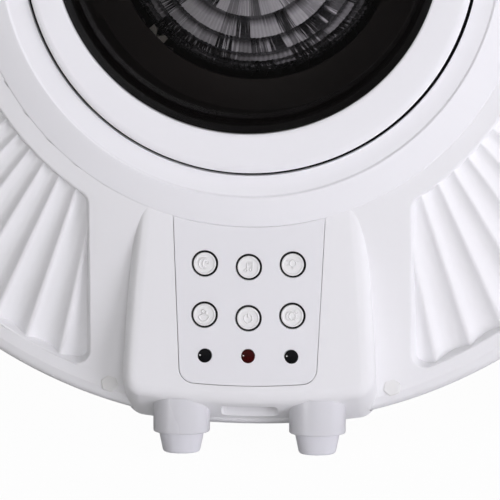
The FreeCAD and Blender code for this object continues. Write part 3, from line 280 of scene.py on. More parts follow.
def moulded(name, colour, roughness, grain_mm=0.35, relief=0.012, drift=0.015, specks=0.0, gap=None):
    """Principled plastic with grain in its bump, cloudy drift in its colour and roughness, and rare specks.

    A gap is two depths in millimetres below the console's front, between which painted shade turns the colour
    dark.
    """
    material, tree = new_material(name)
    where = node(tree, "ShaderNodeTexCoord").outputs["Object"]
    cloud = node(tree, "ShaderNodeTexNoise", {"Vector": where, "Scale": 1 / (cloud_mm * MM), "Detail": 3.0})
    grain = node(tree, "ShaderNodeTexNoise", {"Vector": where, "Scale": 1 / (grain_mm * MM), "Detail": 2.0})
    tint = node(tree, "ShaderNodeMix", {"Factor": cloud.outputs["Fac"], "A": scaled(linear(colour), 1 - drift),
                                        "B": scaled(linear(colour), 1 + drift)}, data_type="RGBA")
    paint = tint.outputs["Result"]
    if specks:
        cells = node(tree, "ShaderNodeTexVoronoi", {"Vector": where, "Scale": 1 / (speck_cell_mm * MM)})
        dot = node(tree, "ShaderNodeMapRange", {"Value": cells.outputs["Distance"], "From Min": speck_radii[0],
                                                "From Max": speck_radii[1], "To Min": specks, "To Max": 0.0})
        keep = node(tree, "ShaderNodeMath", {0: cells.outputs["Color"], 1: speck_rarity},
                    operation="GREATER_THAN")
        amount = node(tree, "ShaderNodeMath", {0: dot.outputs["Result"], 1: keep.outputs["Value"]},
                      operation="MULTIPLY")
        spot = node(tree, "ShaderNodeMix", {"Factor": amount.outputs["Value"], "A": paint,
                                            "B": linear("#55504A")}, data_type="RGBA")
        paint = spot.outputs["Result"]
    # Painted shade: below the console's front the key's colour turns near black, for the shade in the narrow gap
    # around it.
    if gap:
        depth = node(tree, "ShaderNodeVectorMath", {0: where, 1: console_inward}, operation="DOT_PRODUCT")
        gap_shade = node(tree, "ShaderNodeMapRange", {"Value": depth.outputs["Value"],
                                                 "From Min": console_start + gap[0] * MM,
                                                 "From Max": console_start + gap[1] * MM})
        deep = node(tree, "ShaderNodeMix", {"Factor": gap_shade.outputs["Result"], "A": paint,
                                            "B": linear("#070606")}, data_type="RGBA")
        paint = deep.outputs["Result"]
    rough = node(tree, "ShaderNodeMapRange", {"Value": cloud.outputs["Fac"],
                                              "To Min": roughness - roughness_drift,
                                              "To Max": roughness + roughness_drift})
    bump = node(tree, "ShaderNodeBump", {"Height": grain.outputs["Fac"], "Strength": grain_strength,
                                         "Distance": relief * MM})
    shader = node(tree, "ShaderNodeBsdfPrincipled", {"Base Color": paint, "Roughness": rough.outputs["Result"],
                                                     "Normal": bump.outputs["Normal"], "IOR": abs_index})
    node(tree, "ShaderNodeOutputMaterial", {"Surface": shader.outputs["BSDF"]})
    return material


print("console front", round(console_start / MM, 2), "mm along its inward direction")

# %% [markdown]
# ## Plastics and paints
# The case parts are one kind of ABS at slightly different whites and shines, as parts from
# different moulds are, apart from two: the rings around the lens are whiter as a painted highlight
# for their bright slopes, and the legs are darker as painted shade for the shade under the console.
# The legs are glossier, their tips are a soft elastomer, and the pieces inside are black, ivory,
# green or white, after what they are made of. Painted steel gets the same treatment, since its skin
# is a plastic too.

# %% Plastics and paints
case_abs = moulded("moulded_abs_satin_white", "#ECECED", 0.45, specks=0.5)
panel_abs = moulded("moulded_abs_satin_panel", "#EEEEEF", 0.42)
# Painted highlight: the lens rings are whiter than the case, for their bright slopes.
lightened_ring_abs = moulded("moulded_abs_satin_ring", "#F1F1F3", 0.40, specks=0.4)
plate_abs = moulded("moulded_abs_satin_plate", "#E9E9EB", 0.46, specks=0.4)
key_abs = moulded("moulded_abs_fine_key", "#EBEBEA", 0.38, gap=(-0.04, 0.12))
bolt_paint = moulded("painted_steel_white", "#E4E4E2", 0.42)
# Painted shade: the legs are darker than the case, for the shade under the console.
shaded_leg_abs = moulded("moulded_abs_gloss_leg", "#D6D6D9", 0.28, relief=0.006)
foot_tpe = moulded("moulded_tpe_foot", "#D9D9DD", 0.50, grain_mm=0.5)
inner_abs = moulded("moulded_abs_matt_black", "#2B2523", 0.55, relief=0.02)
seal_foam = moulded("cut_foam_black", "#0C0B0B", 0.9, grain_mm=0.6, relief=0.15)
acetal = moulded("moulded_acetal_ivory", "#E2DFD2", 0.35, relief=0.006)
acetal_black = moulded("moulded_acetal_black", "#161514", 0.4, relief=0.006)
nylon_black = moulded("moulded_nylon_black", "#1B1B1C", 0.5)
epoxy_black = moulded("moulded_epoxy_black", "#232324", 0.45, relief=0.02)
paper_black = moulded("pressed_paper_black", "#242322", 0.85, grain_mm=0.8, relief=0.2)
white_mask = moulded("solder_mask_white", "#E6E6E0", 0.3, relief=0.004)
green_mask = moulded("solder_mask_green", "#1E5B38", 0.3, grain_mm=1.2, relief=0.03, drift=0.08)
phosphor = moulded("phosphor_resin_yellow", "#E8CF6A", 0.3)
painted_steel = moulded("painted_steel_black", "#1C1C1E", 0.4, grain_mm=0.6, relief=0.01)
print("moulded and painted", len(bpy.data.materials))

# %% [markdown]
# ## Metals
# The metals are inside, apart from the power socket. Drawn and turned steel shows fine lines along
# one direction: the noise is stretched 30 to 1 along that direction, and drives the roughness and
# the colour.

# %% Metal material
line_mm, line_stretch, line_shade, line_polish = 0.12, (1.0, 1.0, 30.0), 0.85, (0.7, 1.4)


def drawn_metal(name, colour, roughness):
    """Metal whose colour and roughness follow noise that is stretched along one axis."""
    material, tree = new_material(name)
    where = node(tree, "ShaderNodeTexCoord")
    squeeze = node(tree, "ShaderNodeMapping", {"Vector": where.outputs["Object"],
                                               "Scale": tuple(1 / s for s in line_stretch)})
    lines = node(tree, "ShaderNodeTexNoise", {"Vector": squeeze.outputs["Vector"], "Scale": 1 / (line_mm * MM)})
    rough = node(tree, "ShaderNodeMapRange", {"Value": lines.outputs["Fac"],
                                              "To Min": roughness * line_polish[0],
                                              "To Max": roughness * line_polish[1]})
    tone = node(tree, "ShaderNodeMix", {"Factor": lines.outputs["Fac"], "A": scaled(linear(colour), line_shade),
                                        "B": linear(colour)}, data_type="RGBA")
    shader = node(tree, "ShaderNodeBsdfPrincipled", {"Base Color": tone.outputs["Result"],
                                                     "Roughness": rough.outputs["Result"], "Metallic": 1.0})
    node(tree, "ShaderNodeOutputMaterial", {"Surface": shader.outputs["BSDF"]})
    return material


steel = drawn_metal("drawn_steel", "#B4B4B6", 0.3)
zinc_steel = drawn_metal("zinc_plated_steel", "#A9ABAE", 0.35)
nickel_steel = drawn_metal("nickel_plated_steel", "#C4C2BE", 0.22)
turned_brass = drawn_metal("turned_brass", "#C9A45A", 0.25)
extruded_aluminium = drawn_metal("extruded_aluminium", "#C3C5C8", 0.38)
print("metals done")

# %% [markdown]
# ## Smoked acrylic
# The window dome is smoked acrylic with a polished skin. It is thin, so it is drawn as a
# straight-through filter with a skin that reflects a little, more so where it is seen at a slant.
# The black cup behind it gives most of the darkness, so the filter itself is pale.

# %% Dome material
ripple_mm, ripple_relief, ripple_strength, skin_roughness, skin_index = 30, 0.02, 0.1, 0.04, 1.42


def smoked_acrylic():
    """Mix of a dyed see-through layer and a polished skin, by Fresnel."""
    material, tree = new_material("polished_smoked_acrylic")
    where = node(tree, "ShaderNodeTexCoord")
    ripple = node(tree, "ShaderNodeTexNoise", {"Vector": where.outputs["Object"], "Scale": 1 / (ripple_mm * MM),
                                               "Detail": 1.0})
    dye = node(tree, "ShaderNodeMix", {"Factor": ripple.outputs["Fac"], "A": linear("#E4E3E3"),
                                       "B": linear("#E9E8E8")}, data_type="RGBA")
    bump = node(tree, "ShaderNodeBump", {"Height": ripple.outputs["Fac"], "Strength": ripple_strength,
                                         "Distance": ripple_relief * MM})
    clear = node(tree, "ShaderNodeBsdfTransparent", {"Color": dye.outputs["Result"]})
    skin = node(tree, "ShaderNodeBsdfGlossy", {"Normal": bump.outputs["Normal"], "Roughness": skin_roughness,
                                               "Color": (0.9, 0.9, 0.9, 1.0)})
    edge = node(tree, "ShaderNodeFresnel", {"Normal": bump.outputs["Normal"], "IOR": skin_index})
    mix = node(tree, "ShaderNodeMixShader", {0: edge.outputs["Fac"], 1: clear.outputs["BSDF"],
                                             2: skin.outputs["BSDF"]})
    node(tree, "ShaderNodeOutputMaterial", {"Surface": mix.outputs["Shader"]})
    return material


smoked = smoked_acrylic()
print("dome material", smoked.name)

# %% [markdown]
# ## Clear and tinted plastics
# The optics inside are clear moulded polystyrene, which bends light strongly, with a trace of haze.
# The three small windows are cast resin: one is a dark red and two are black and clear to infrared
# only, so all three are drawn as dark, glossy and slightly cloudy.

# %% Clear and tinted materials
styrene_index, resin_index, resin_roughness, haze_mm, resin_cloud_mm = 1.59, 1.5, 0.06, 4, 1.2


def clear_plastic(name, tint, haze):
    """Clear polystyrene: full transmission, with a roughness that drifts up from zero by the haze."""
    material, tree = new_material(name)
    where = node(tree, "ShaderNodeTexCoord")
    cloud = node(tree, "ShaderNodeTexNoise", {"Vector": where.outputs["Object"], "Scale": 1 / (haze_mm * MM)})
    rough = node(tree, "ShaderNodeMapRange", {"Value": cloud.outputs["Fac"], "To Max": haze})
    shader = node(tree, "ShaderNodeBsdfPrincipled", {"Base Color": linear(tint), "IOR": styrene_index,
                                                     "Roughness": rough.outputs["Result"],
                                                     "Transmission Weight": 1.0})
    node(tree, "ShaderNodeOutputMaterial", {"Surface": shader.outputs["BSDF"]})
    return material


def tinted_resin(name, deep, bright):
    """Dark glossy resin whose colour clouds slightly."""
    material, tree = new_material(name)
    where = node(tree, "ShaderNodeTexCoord")
    cloud = node(tree, "ShaderNodeTexNoise", {"Vector": where.outputs["Object"],
                                              "Scale": 1 / (resin_cloud_mm * MM)})
    tone = node(tree, "ShaderNodeMix", {"Factor": cloud.outputs["Fac"], "A": linear(deep), "B": linear(bright)},
                data_type="RGBA")
    shader = node(tree, "ShaderNodeBsdfPrincipled", {"Base Color": tone.outputs["Result"], "IOR": resin_index,
                                                     "Roughness": resin_roughness})
    node(tree, "ShaderNodeOutputMaterial", {"Surface": shader.outputs["BSDF"]})
    return material


clear_styrene = clear_plastic("moulded_clear_polystyrene", "#F8FAFA", 0.05)
infrared_resin = tinted_resin("infrared_black_resin", "#0A0A0C", "#141416")
red_resin = tinted_resin("dark_red_resin", "#240506", "#43090A")
print("clear and tinted", clear_styrene.name, infrared_resin.name, red_resin.name)

# %% [markdown]
# ## Ribbed crystal
# The crystal is clear moulded polystyrene, cut into sides and fine ribs that smear light into
# streaks. Real facets flash or stay dark by chance. Here that is painted: each side of a tier gets
# its own random share of a pale surface as a painted highlight, and fine painted streaks break it up.
# The upper rim of each tier gets a painted shadow, as if shaded by the one above, and the lower tiers
# get painted shade, as if they faced away from the light.

# %% Crystal material
side_columns, tier_rows = 16, 3
streak_stretch, streak_levels = (0.55, 0.12, 1.0), (0.53, 0.66)
dull_sides, flash_shares = 0.3, (0.03, 0.75)
ledge_span, ledge_shade, highest_tier, height_shade_shares = (0.3, 0.62), 0.12, 5.0, (0.1, 1.9)
cut_roughness, painted_flash_roughness = 0.06, 0.22


def ribbed_crystal():
    """Painted light: clear plastic mixed with a pale one. Share = max(streak, side's chance) * ledge * height, at
    most 1, where ledge and height are painted shade.
    """
    material, tree = new_material("moulded_ribbed_polystyrene")
    grid = node(tree, "ShaderNodeUVMap", uv_map="grid").outputs["UV"]
    parts = node(tree, "ShaderNodeSeparateXYZ", {"Vector": grid})
    side = node(tree, "ShaderNodeMath", {0: parts.outputs["X"], 1: float(side_columns)}, operation="DIVIDE")
    tier = node(tree, "ShaderNodeMath", {0: parts.outputs["Y"], 1: float(tier_rows)}, operation="DIVIDE")
    side_number = node(tree, "ShaderNodeMath", {0: side.outputs["Value"]}, operation="FLOOR")
    tier_number = node(tree, "ShaderNodeMath", {0: tier.outputs["Value"]}, operation="FLOOR")
    cell = node(tree, "ShaderNodeCombineXYZ", {"X": side_number.outputs["Value"],
                                               "Y": tier_number.outputs["Value"]})
    chance = node(tree, "ShaderNodeTexWhiteNoise", {"Vector": cell.outputs["Vector"]})
    # Painted highlights: the streaks and each side's random flash are a share of a pale surface.
    squeeze = node(tree, "ShaderNodeVectorMath", {0: grid, 1: streak_stretch}, operation="MULTIPLY")
    noise = node(tree, "ShaderNodeTexNoise", {"Vector": squeeze.outputs["Vector"], "Scale": 1.0, "Detail": 3.0})
    streak = node(tree, "ShaderNodeMapRange", {"Value": noise.outputs["Fac"], "From Min": streak_levels[0],
                                               "From Max": streak_levels[1]})
    spread = node(tree, "ShaderNodeMapRange", {"Value": chance.outputs["Value"], "From Min": dull_sides,
                                               "To Min": flash_shares[0], "To Max": flash_shares[1]})
    either = node(tree, "ShaderNodeMath", {0: streak.outputs["Result"], 1: spread.outputs["Result"]},
                  operation="MAXIMUM")
    level = node(tree, "ShaderNodeMath", {0: tier.outputs["Value"]}, operation="FRACT")
    # Painted shadow: the upper rim of each tier is darkened, as if shaded by the tier above.
    ledge = node(tree, "ShaderNodeMapRange", {"Value": level.outputs["Value"], "From Min": ledge_span[0],
                                              "From Max": ledge_span[1], "To Min": 1.0, "To Max": ledge_shade})
    # Painted shade: the lower tiers get less of the pale share, as if they faced away from the light.
    height = node(tree, "ShaderNodeMapRange", {"Value": tier_number.outputs["Value"], "From Min": 0.0,
                                               "From Max": highest_tier, "To Min": height_shade_shares[0],
                                               "To Max": height_shade_shares[1]})
    lit = node(tree, "ShaderNodeMath", {0: either.outputs["Value"], 1: ledge.outputs["Result"]},
               operation="MULTIPLY")
    share = node(tree, "ShaderNodeMath", {0: lit.outputs["Value"], 1: height.outputs["Result"]},
                 operation="MULTIPLY", use_clamp=True)
    clear = node(tree, "ShaderNodeBsdfPrincipled", {"Base Color": linear("#46484C"), "Roughness": cut_roughness,
                                                    "IOR": styrene_index, "Transmission Weight": 1.0})
    # Painted light: the pale surface whose share paints the crystal's flashes and streaks.
    painted_flash = node(tree, "ShaderNodeBsdfPrincipled", {"Base Color": linear("#F6F6FA"),
                                                    "Roughness": painted_flash_roughness})
    mix = node(tree, "ShaderNodeMixShader", {0: share.outputs["Value"], 1: clear.outputs["BSDF"],
                                             2: painted_flash.outputs["BSDF"]})
    node(tree, "ShaderNodeOutputMaterial", {"Surface": mix.outputs["Shader"]})
    return material


crystal_ps = ribbed_crystal()
print("crystal material", crystal_ps.name)

# %% [markdown]
# ## The face: a sloping band with three windows
# The face is a shallow cone from the collar ring out to the rim. Each third of it holds one
# rounded window between two spokes. A plain polar grid would cut across the window's rounded
# corners, so each third is a grid between two matched loops: the window's outline inside and the
# outline of the third outside. Both loops have the same number of points per side, and the rows
# between them are blends of the two. The edge then rolls over and drops to the recess.

# %% Face dimensions
collar_radius = 61.1
band_outer = 103.3
band_heights = (16.8, 8.3)
window_radii = (65.5, 100.4)
spoke_half = 35.4
window_corner = 2.8
edge_roll = 0.55
recess_depth = 5.4
wall_draft = 0.22
third = math.radians(120)
mid_angle = math.radians(-30)
ring_foot = 13.9
band_slope = (band_heights[0] - band_heights[1]) / (band_outer - collar_radius)


def band(radius):
    """Height of the sloping face at a radius: it falls evenly from the collar to the rim."""
    return band_heights[0] - (radius - collar_radius) * band_slope


def polar(radius, angle):
    """Plane points at a radius and an angle."""
    return np.stack([radius * np.cos(angle), radius * np.sin(angle)], axis=-1)


def blend_line(start, end, count):
    """Evenly spaced points from one point to another, without the last."""
    t = np.linspace(0, 1, count, endpoint=False)[:, None]
    return (1 - t) * np.asarray(start, float) + t * np.asarray(end, float)


print("band slope", round(math.degrees(math.atan(band_slope)), 2), "degrees")

# %% [markdown]
# ## Two loops with matching points
# The window's outline runs along its inner arc, round a corner, along a spoke, round the next
# corner and along its outer arc. The third's outline does the same with blunt corners. Each is
# drawn for one half and mirrored, and both take the same number of points on each stretch.

# %% Matched loops of one third
arc_steps, side_steps, corner_steps = 72, 36, 12


def window_loop():
    """Window outline, starting at its inner arc, as half of it and its mirror image across the middle."""
    r = window_corner
    inner_centre = math.asin((spoke_half + r) / (window_radii[0] + r))
    outer_centre = math.asin((spoke_half + r) / (window_radii[1] - r))
    half = third / 2
    inner = polar(window_radii[0] + r, half - inner_centre)
    outer = polar(window_radii[1] - r, half - outer_centre)
    arc_in = polar(window_radii[0], np.linspace(0, half - inner_centre, arc_steps // 2, endpoint=False))
    turn_in = inner + r * polar(1.0, np.linspace(half - inner_centre + np.pi, half + np.pi / 2, corner_steps,
                                                 endpoint=False))
    along_in = inner + r * polar(1.0, half + np.pi / 2)
    along_out = outer + r * polar(1.0, half + np.pi / 2)
    straight = blend_line(along_in, along_out, side_steps)
    turn_out = outer + r * polar(1.0, np.linspace(half + np.pi / 2, half - outer_centre, corner_steps,
                                                  endpoint=False))
    arc_out = polar(window_radii[1], np.linspace(half - outer_centre, 0, arc_steps // 2 + 1))
    return mirrored(np.concatenate([arc_in, turn_in, straight, turn_out, arc_out]))


def third_loop():
    """Outline of the third with as many points on each side as the window's outline."""
    half = third / 2
    blunt, inset = math.radians(6), 4
    outer_end = polar(band_outer - inset, half)
    arc_in = polar(collar_radius, np.linspace(0, half - blunt, arc_steps // 2, endpoint=False))
    corner_in = np.concatenate([polar(collar_radius, np.linspace(half - blunt, half, corner_steps // 2,
                                                                endpoint=False)),
                                blend_line(polar(collar_radius, half), polar(collar_radius + inset, half),
                                           corner_steps // 2)])
    straight = blend_line(polar(collar_radius + inset, half), outer_end, side_steps)
    corner_out = np.concatenate([blend_line(outer_end, polar(band_outer, half), corner_steps // 2),
                                 polar(band_outer, np.linspace(half, half - blunt / 2, corner_steps // 2,
                                                               endpoint=False))])
    arc_out = polar(band_outer, np.linspace(half - blunt / 2, 0, arc_steps // 2 + 1))
    return mirrored(np.concatenate([arc_in, corner_in, straight, corner_out, arc_out]))


def mirrored(half_loop):
    """A whole loop from the half above the middle line: the rest is that half reversed and mirrored."""
    return np.concatenate([half_loop, (half_loop * [1, -1])[-2:0:-1]])


window = window_loop()
outline = third_loop()
print("window loop", len(window), "third loop", len(outline))

# %% [markdown]
# ## The face's surface
# From the window's outline inwards the edge rolls over and the wall drops to the recess with a
# little draft, as a mould needs. From it outwards the rows are blends of the two loops. Two turned
# rings close the face at the rim and at the collar.

# %% Face surface


def loop_outward(loop):
    """Unit normals that point out of a loop: the central difference along it, turned a quarter turn."""
    along = np.roll(loop, -1, axis=0) - np.roll(loop, 1, axis=0)
    normal = np.stack([-along[:, 1], along[:, 0]], axis=-1)
    normal /= np.linalg.norm(normal, axis=1, keepdims=True)
    inside = np.sum(normal * (loop - loop.mean(axis=0)), axis=1).sum() < 0
    return -normal if inside else normal


def face_grid(turn):
    """Rows go from the foot of the recess wall, over the rolled edge, across the band to the third's outline."""
    normal = loop_outward(window)
    roll = np.linspace(0, np.pi / 2, 7)
    wall_rows = [(-wall_draft * recess_depth, recess_depth), (-wall_draft * edge_roll, edge_roll * 2)]
    roll_rows = [(edge_roll * (1 - math.cos(a)), edge_roll * (1 - math.sin(a))) for a in roll]
    rows = []
    for out, drop in wall_rows + roll_rows:
        loop = window + normal * out
        rows.append(np.column_stack([loop, band(np.linalg.norm(loop, axis=1)) - drop]))
    edge = window + normal * edge_roll
    for t in np.linspace(0, 1, 9)[1:]:
        loop = (1 - t) * edge + t * outline
        rows.append(np.column_stack([loop, band(np.linalg.norm(loop, axis=1))]))
    return spin(np.stack(rows), turn), False, True


def spin(points, turn):
    """Turn points about the disc's axis."""
    c, s = math.cos(turn), math.sin(turn)
    x, y, z = np.moveaxis(points, -1, 0)
    return np.stack([c * x - s * y, s * x + c * y, z], axis=-1)


rim_fall, rim_shoulder, rim_chamfer, rim_land, rim_segments = (0.9, 1.2), 3.8, 0.35, 2.4, 384
inner_profile = eased([(collar_radius, ring_foot), (collar_radius, band_heights[0])], 0.0, 2, closed=False)
rim_profile = eased([(band_outer, band_heights[1]), (rim_radius - rim_fall[0], band_heights[1] - rim_fall[1]),
                     (rim_radius, band_heights[1] - rim_shoulder), (rim_radius, rim_chamfer),
                     (rim_radius - rim_chamfer, 0.0), (rim_radius - rim_land, 0.0)],
                    (0, 1.4, 1.4, 0.15, 0.15, 0), closed=False)
face_grids = [face_grid(mid_angle + third * k) for k in range(3)]
face_grids += [ring(rim_profile, rim_segments, False), ring(inner_profile, rim_segments, False)]
forward = (0, -1, 0)
piece("front_face", face_grids, "housing", case_abs, ("front_shell",), forward)

# %% [markdown]
# ## Fluted fans
# Each window shows a fan of 18 scallops, and one more at each side runs under its edge, so that
# a fan may sit turned by a degree. The crests are straight lines that meet at one point
# between the lens and the window, so the scallops widen outwards. The grid follows the fan: one
# direction is the angle at that point, the other the distance between two arcs. The depth is a
# share of the local width, and the crests are drawn out to narrow ridges by a power of the cosine.

# %% Fluted fan surface
fan_apex = 27.8
flute_count = 20
flute_pitch = math.radians(6.05)
crest_drop = 1.5
depth_share = 0.29
columns_per_flute, fan_rows, under_edge = 20, 40, 1.6
crest_round = 0.16
fan_turns = {"right": 0.4, "top": 0.0, "left": -1.2}


def ray_length(angle, radius):
    """Distance from the fan's apex to the circle of a radius: the larger root of the law of cosines."""
    return np.sqrt(radius ** 2 - (fan_apex * np.sin(angle)) ** 2) - fan_apex * np.cos(angle)


def crest(a):
    """a^2 up to 1 - w, then a parabola that is level at the ridge, both over 1 - w, so the ridge is at 1."""
    w = crest_round
    bowl = a ** 2
    top = (1 - w) - (1 - w) / w * (1 - a) ** 2
    return np.where(a < 1 - w, bowl, top) / (1 - w)


def fan_grid(turn):
    """Height = band - crest drop - depth * (1 - crest(|2u|)), with u from -1/2 to 1/2 across each scallop."""
    count = flute_count * columns_per_flute
    place = np.linspace(-flute_count / 2, flute_count / 2, count + 1)
    angle = place * flute_pitch
    t = np.linspace(0, 1, fan_rows)[:, None]
    distance = ((1 - t) * ray_length(angle, window_radii[0] - under_edge)
                + t * ray_length(angle, window_radii[1] + under_edge))
    x, y = fan_apex + distance * np.cos(angle), distance * np.sin(angle)
    across = np.abs(2 * (place - np.floor(place) - 0.5))
    width = 2 * distance * math.tan(flute_pitch / 2)
    z = band(np.hypot(x, y)) - crest_drop - depth_share * width * (1 - crest(across))
    return spin(np.stack([x, y, z], axis=-1), turn), False, False


for number, (name, turn) in enumerate(fan_turns.items()):
    grid = fan_grid(mid_angle + third * number + math.radians(turn))
    piece("fan_" + name, [grid], "housing", panel_abs, ("flute_panel_" + name,), forward, 60.0)

# %% [markdown]
# ## Rings around the lens
# The collar is a trim ring: a sloping outer face, a crest and a shallow step. Inside it a dark gap
# of under a millimetre, with foam in it, lets the lens ring float. All are profiles carried round
# the axis. The lens ring's opening is a little off that axis: the nearer a point is to the
# opening, the more of the shift it takes, so the ring's outside stays true.

# %% Collar, lens ring, seal and dome
opening_shift = (-0.72, 1.75)
collar_outside, collar_crest, collar_inside, collar_rebate, rebate_level = 61.15, 54.5, 49.75, 50.7, 15.7
collar_profile = eased([(collar_outside, ring_foot), (collar_outside, 17.02), (collar_crest, 19.6), (54.1, 19.1),
                        (collar_inside, 18.2), (collar_inside, rebate_level), (collar_rebate, rebate_level),
                        (collar_rebate, ring_foot)], (0.1, 0.35, 0.3, 0.2, 0.3, 0.1, 0.1, 0.1))
piece("collar_trim", [ring(collar_profile)], "housing", lightened_ring_abs, ("collar_ring",), crease=50.0)
opening_radius, lens_outside, lens_wall, lens_foot, seat_level = 42.3, 49.0, 46.9, 11.7, 17.6
lens_profile = eased([(opening_radius, seat_level), (opening_radius, 19.35), (42.7, 19.6), (47.9, 20.4),
                      (lens_outside, 19.9), (lens_outside, lens_foot), (lens_wall, lens_foot),
                      (lens_wall, seat_level)], (0.1, 0.12, 0.15, 0.9, 0.5, 0.1, 0.1, 0.1))
share = np.clip((lens_outside - lens_profile[:, :1]) / (lens_outside - opening_radius), 0, 1)[..., None]
share = share * (lens_profile[:, 1:, None] > seat_level - 0.05)
lens_rows, wrapped, around = ring(lens_profile)
lens_rows = lens_rows + share * np.array([*opening_shift, 0.0])
piece("lens_trim", [(lens_rows, wrapped, around)], "housing", lightened_ring_abs, ("lens_ring",),
      crease=50.0)
seal_radii, seal_levels = (49.15, 50.45), (lens_foot, 15.4)
seal_profile = eased([(seal_radii[0], seal_levels[0]), (seal_radii[1], seal_levels[0]),
                      (seal_radii[1], seal_levels[1]), (seal_radii[0], seal_levels[1])], 0.1)
piece("foam_seal", [ring(seal_profile)], "housing", seal_foam, ("gap_seal",), crease=50.0)

dome_edge, dome_rise, dome_wall, dome_flange = 42.2, 11.0, 1.8, 46.6


def cap_profile(edge, rise, seat, count=48):
    """Arc of a sphere that rises over a seat: its radius is (edge^2 + rise^2) / (2 rise)."""
    sphere = (edge ** 2 + rise ** 2) / (2 * rise)
    angle = np.linspace(0, math.asin(edge / sphere), count)
    return np.column_stack([sphere * np.sin(angle), seat + rise - sphere + sphere * np.cos(angle)])


dome_profile = np.concatenate([cap_profile(dome_edge, dome_rise, seat_level),
                               [(dome_flange, seat_level), (dome_flange, 15.85)],
                               cap_profile(dome_edge - dome_wall, dome_rise, seat_level - dome_wall)[::-1]])
dome_rows, wrapped, around = ring(dome_profile, wrap=False)
share = np.where(dome_profile[:, :1] < dome_flange, 1.0, 0.0)[..., None]
dome_rows = dome_rows + share * np.array([*opening_shift, 0.0])
piece("window_dome", [(dome_rows, wrapped, around)], "housing", smoked, ("smoked_dome",))

# %% [markdown]
# ## Legs and feet
# Each leg is a plain round bar with an eased lower edge, over a softer tapered foot. The bar runs
# up into the console or the bowl, so its top needs no cut.

# %% Legs and feet
leg_spread, leg_radius, leg_step, floor_level = 14.9, 6.2, -107.0, -111.5
foot_radii, foot_tenon = (4.95, 4.0), 1.0
leg_depths = {"front": (12.0, -99.0), "rear": (-50.0, -84.0)}
for row, (z, top) in leg_depths.items():
    for x, side in ((-leg_spread, "left"), (leg_spread, "right")):
        leg_profile = eased([(0, top), (leg_radius, top), (leg_radius, leg_step), (0, leg_step)], (0, 0, 0.5, 0))
        piece(f"{row}_leg_{side}_bar", [bar(leg_profile, x, z)], "housing", shaded_leg_abs,
              (f"{row}_leg_{side}",), crease=50.0)
        foot_profile = eased([(0, leg_step + foot_tenon), (foot_radii[0], leg_step + foot_tenon),
                              (foot_radii[0], leg_step), (foot_radii[1], floor_level), (0, floor_level)],
                             (0, 0, 0, 0.7, 0))
        piece(f"{row}_foot_{side}_tip", [bar(foot_profile, x, z)], "housing", foot_tpe,
              (f"{row}_foot_{side}",), crease=50.0)

# %% [markdown]
# ## The console's frame
# The console's front is a plane that leans by three degrees, so the keys and windows on it are
# drawn in its own frame and placed by one function.

# %% Place on the console


def on_console(points):
    """Console point (x, y, w) to the world: y runs up the sloping front and w stands out of it."""
    x, y, w = np.moveaxis(np.asarray(points, float), -1, 0)
    up = console_pivot[0] + y * math.cos(console_tilt) + w * math.sin(console_tilt)
    out = console_pivot[1] - y * math.sin(console_tilt) + w * math.cos(console_tilt)
    return stand(np.stack([x, up, out], axis=-1))


print("console origin", on_console((0.0, 0.0, 0.0)).round(4).tolist())

# %% [markdown]
# ## Strokes
# A key's face is dished, and its symbol rises a quarter of a millimetre from the floor inside. A
# symbol is a set of strokes. Each stroke is a path with an oval section carried along it, like
# icing from a nozzle. The paths are arcs, chains of lines, stars and crescents.

# %% Paths and strokes
key_floor, stroke_half_width, stroke_half_height, stroke_sides = 0.08, 0.17, 0.25, 8


def arc(x, y, radius, start, end, count=24):
    """Points of a circular arc between two angles in degrees."""
    a = np.radians(np.linspace(start, end, count))
    return np.stack([x + radius * np.cos(a), y + radius * np.sin(a)], axis=-1)


def line(*corners, count=10):
    """Evenly spaced points along a chain of straight lines."""
    corners = np.asarray(corners, float)
    t = np.linspace(0, len(corners) - 1, count * (len(corners) - 1) + 1)
    k = np.minimum(t.astype(int), len(corners) - 2)
    return corners[k] + (corners[k + 1] - corners[k]) * (t - k)[:, None]


def stroke(path, closed):
    """Oval section carried along a path. Open ends shrink to a point, so every stroke is closed."""
    if closed:
        along = np.roll(path, -1, axis=0) - np.roll(path, 1, axis=0)
        swell = np.ones(len(path))
    else:
        along = np.gradient(path, axis=0)
        ends = np.minimum(np.arange(len(path)), np.arange(len(path))[::-1])
        swell = np.sqrt(np.clip(ends / 2, 0, 1))
    along /= np.linalg.norm(along, axis=1, keepdims=True)
    across = np.stack([-along[:, 1], along[:, 0]], axis=-1)
    turn = np.linspace(0, 2 * np.pi, stroke_sides, endpoint=False)
    flat = path[:, None, :] + across[:, None, :] * (stroke_half_width * swell[:, None] * np.cos(turn))[..., None]
    height = key_floor + stroke_half_height * swell[:, None] * np.sin(turn)
    return np.concatenate([flat, height[..., None]], axis=-1), closed, True


def star(x, y, size, points=4, waist=0.36):
    """Outline of a pointed star: radii alternate between its tips and its waist."""
    a = np.linspace(0, 2 * np.pi, 2 * points, endpoint=False) + np.pi / 2
    radius = size * np.where(np.arange(2 * points) % 2 == 0, 1.0, waist)
    corners = np.stack([x + radius * np.cos(a), y + radius * np.sin(a)], axis=-1)
    return line(*corners, corners[0], count=4)[:-1]


def crescent(x, y, size):
    """A moon: an outer arc of 240 degrees, closed by an inner arc of about the same radius."""
    outer = arc(x, y, size, 60, 300, 28)
    inner = arc(x + 0.564 * size, y, 0.87 * size, 265.8, 94.2, 22)[1:-1]
    return np.concatenate([outer, inner])


print("crescent points", len(crescent(0, 0, 1)))

# %% [markdown]
# ## Symbols
# The symbols are plain signs that any such device could carry: a moon, notes, a lamp, a clock
# face, the power sign, and a moon with stars. Each is a list of paths in millimetres from the
# key's middle, and says of each path whether it closes on itself.

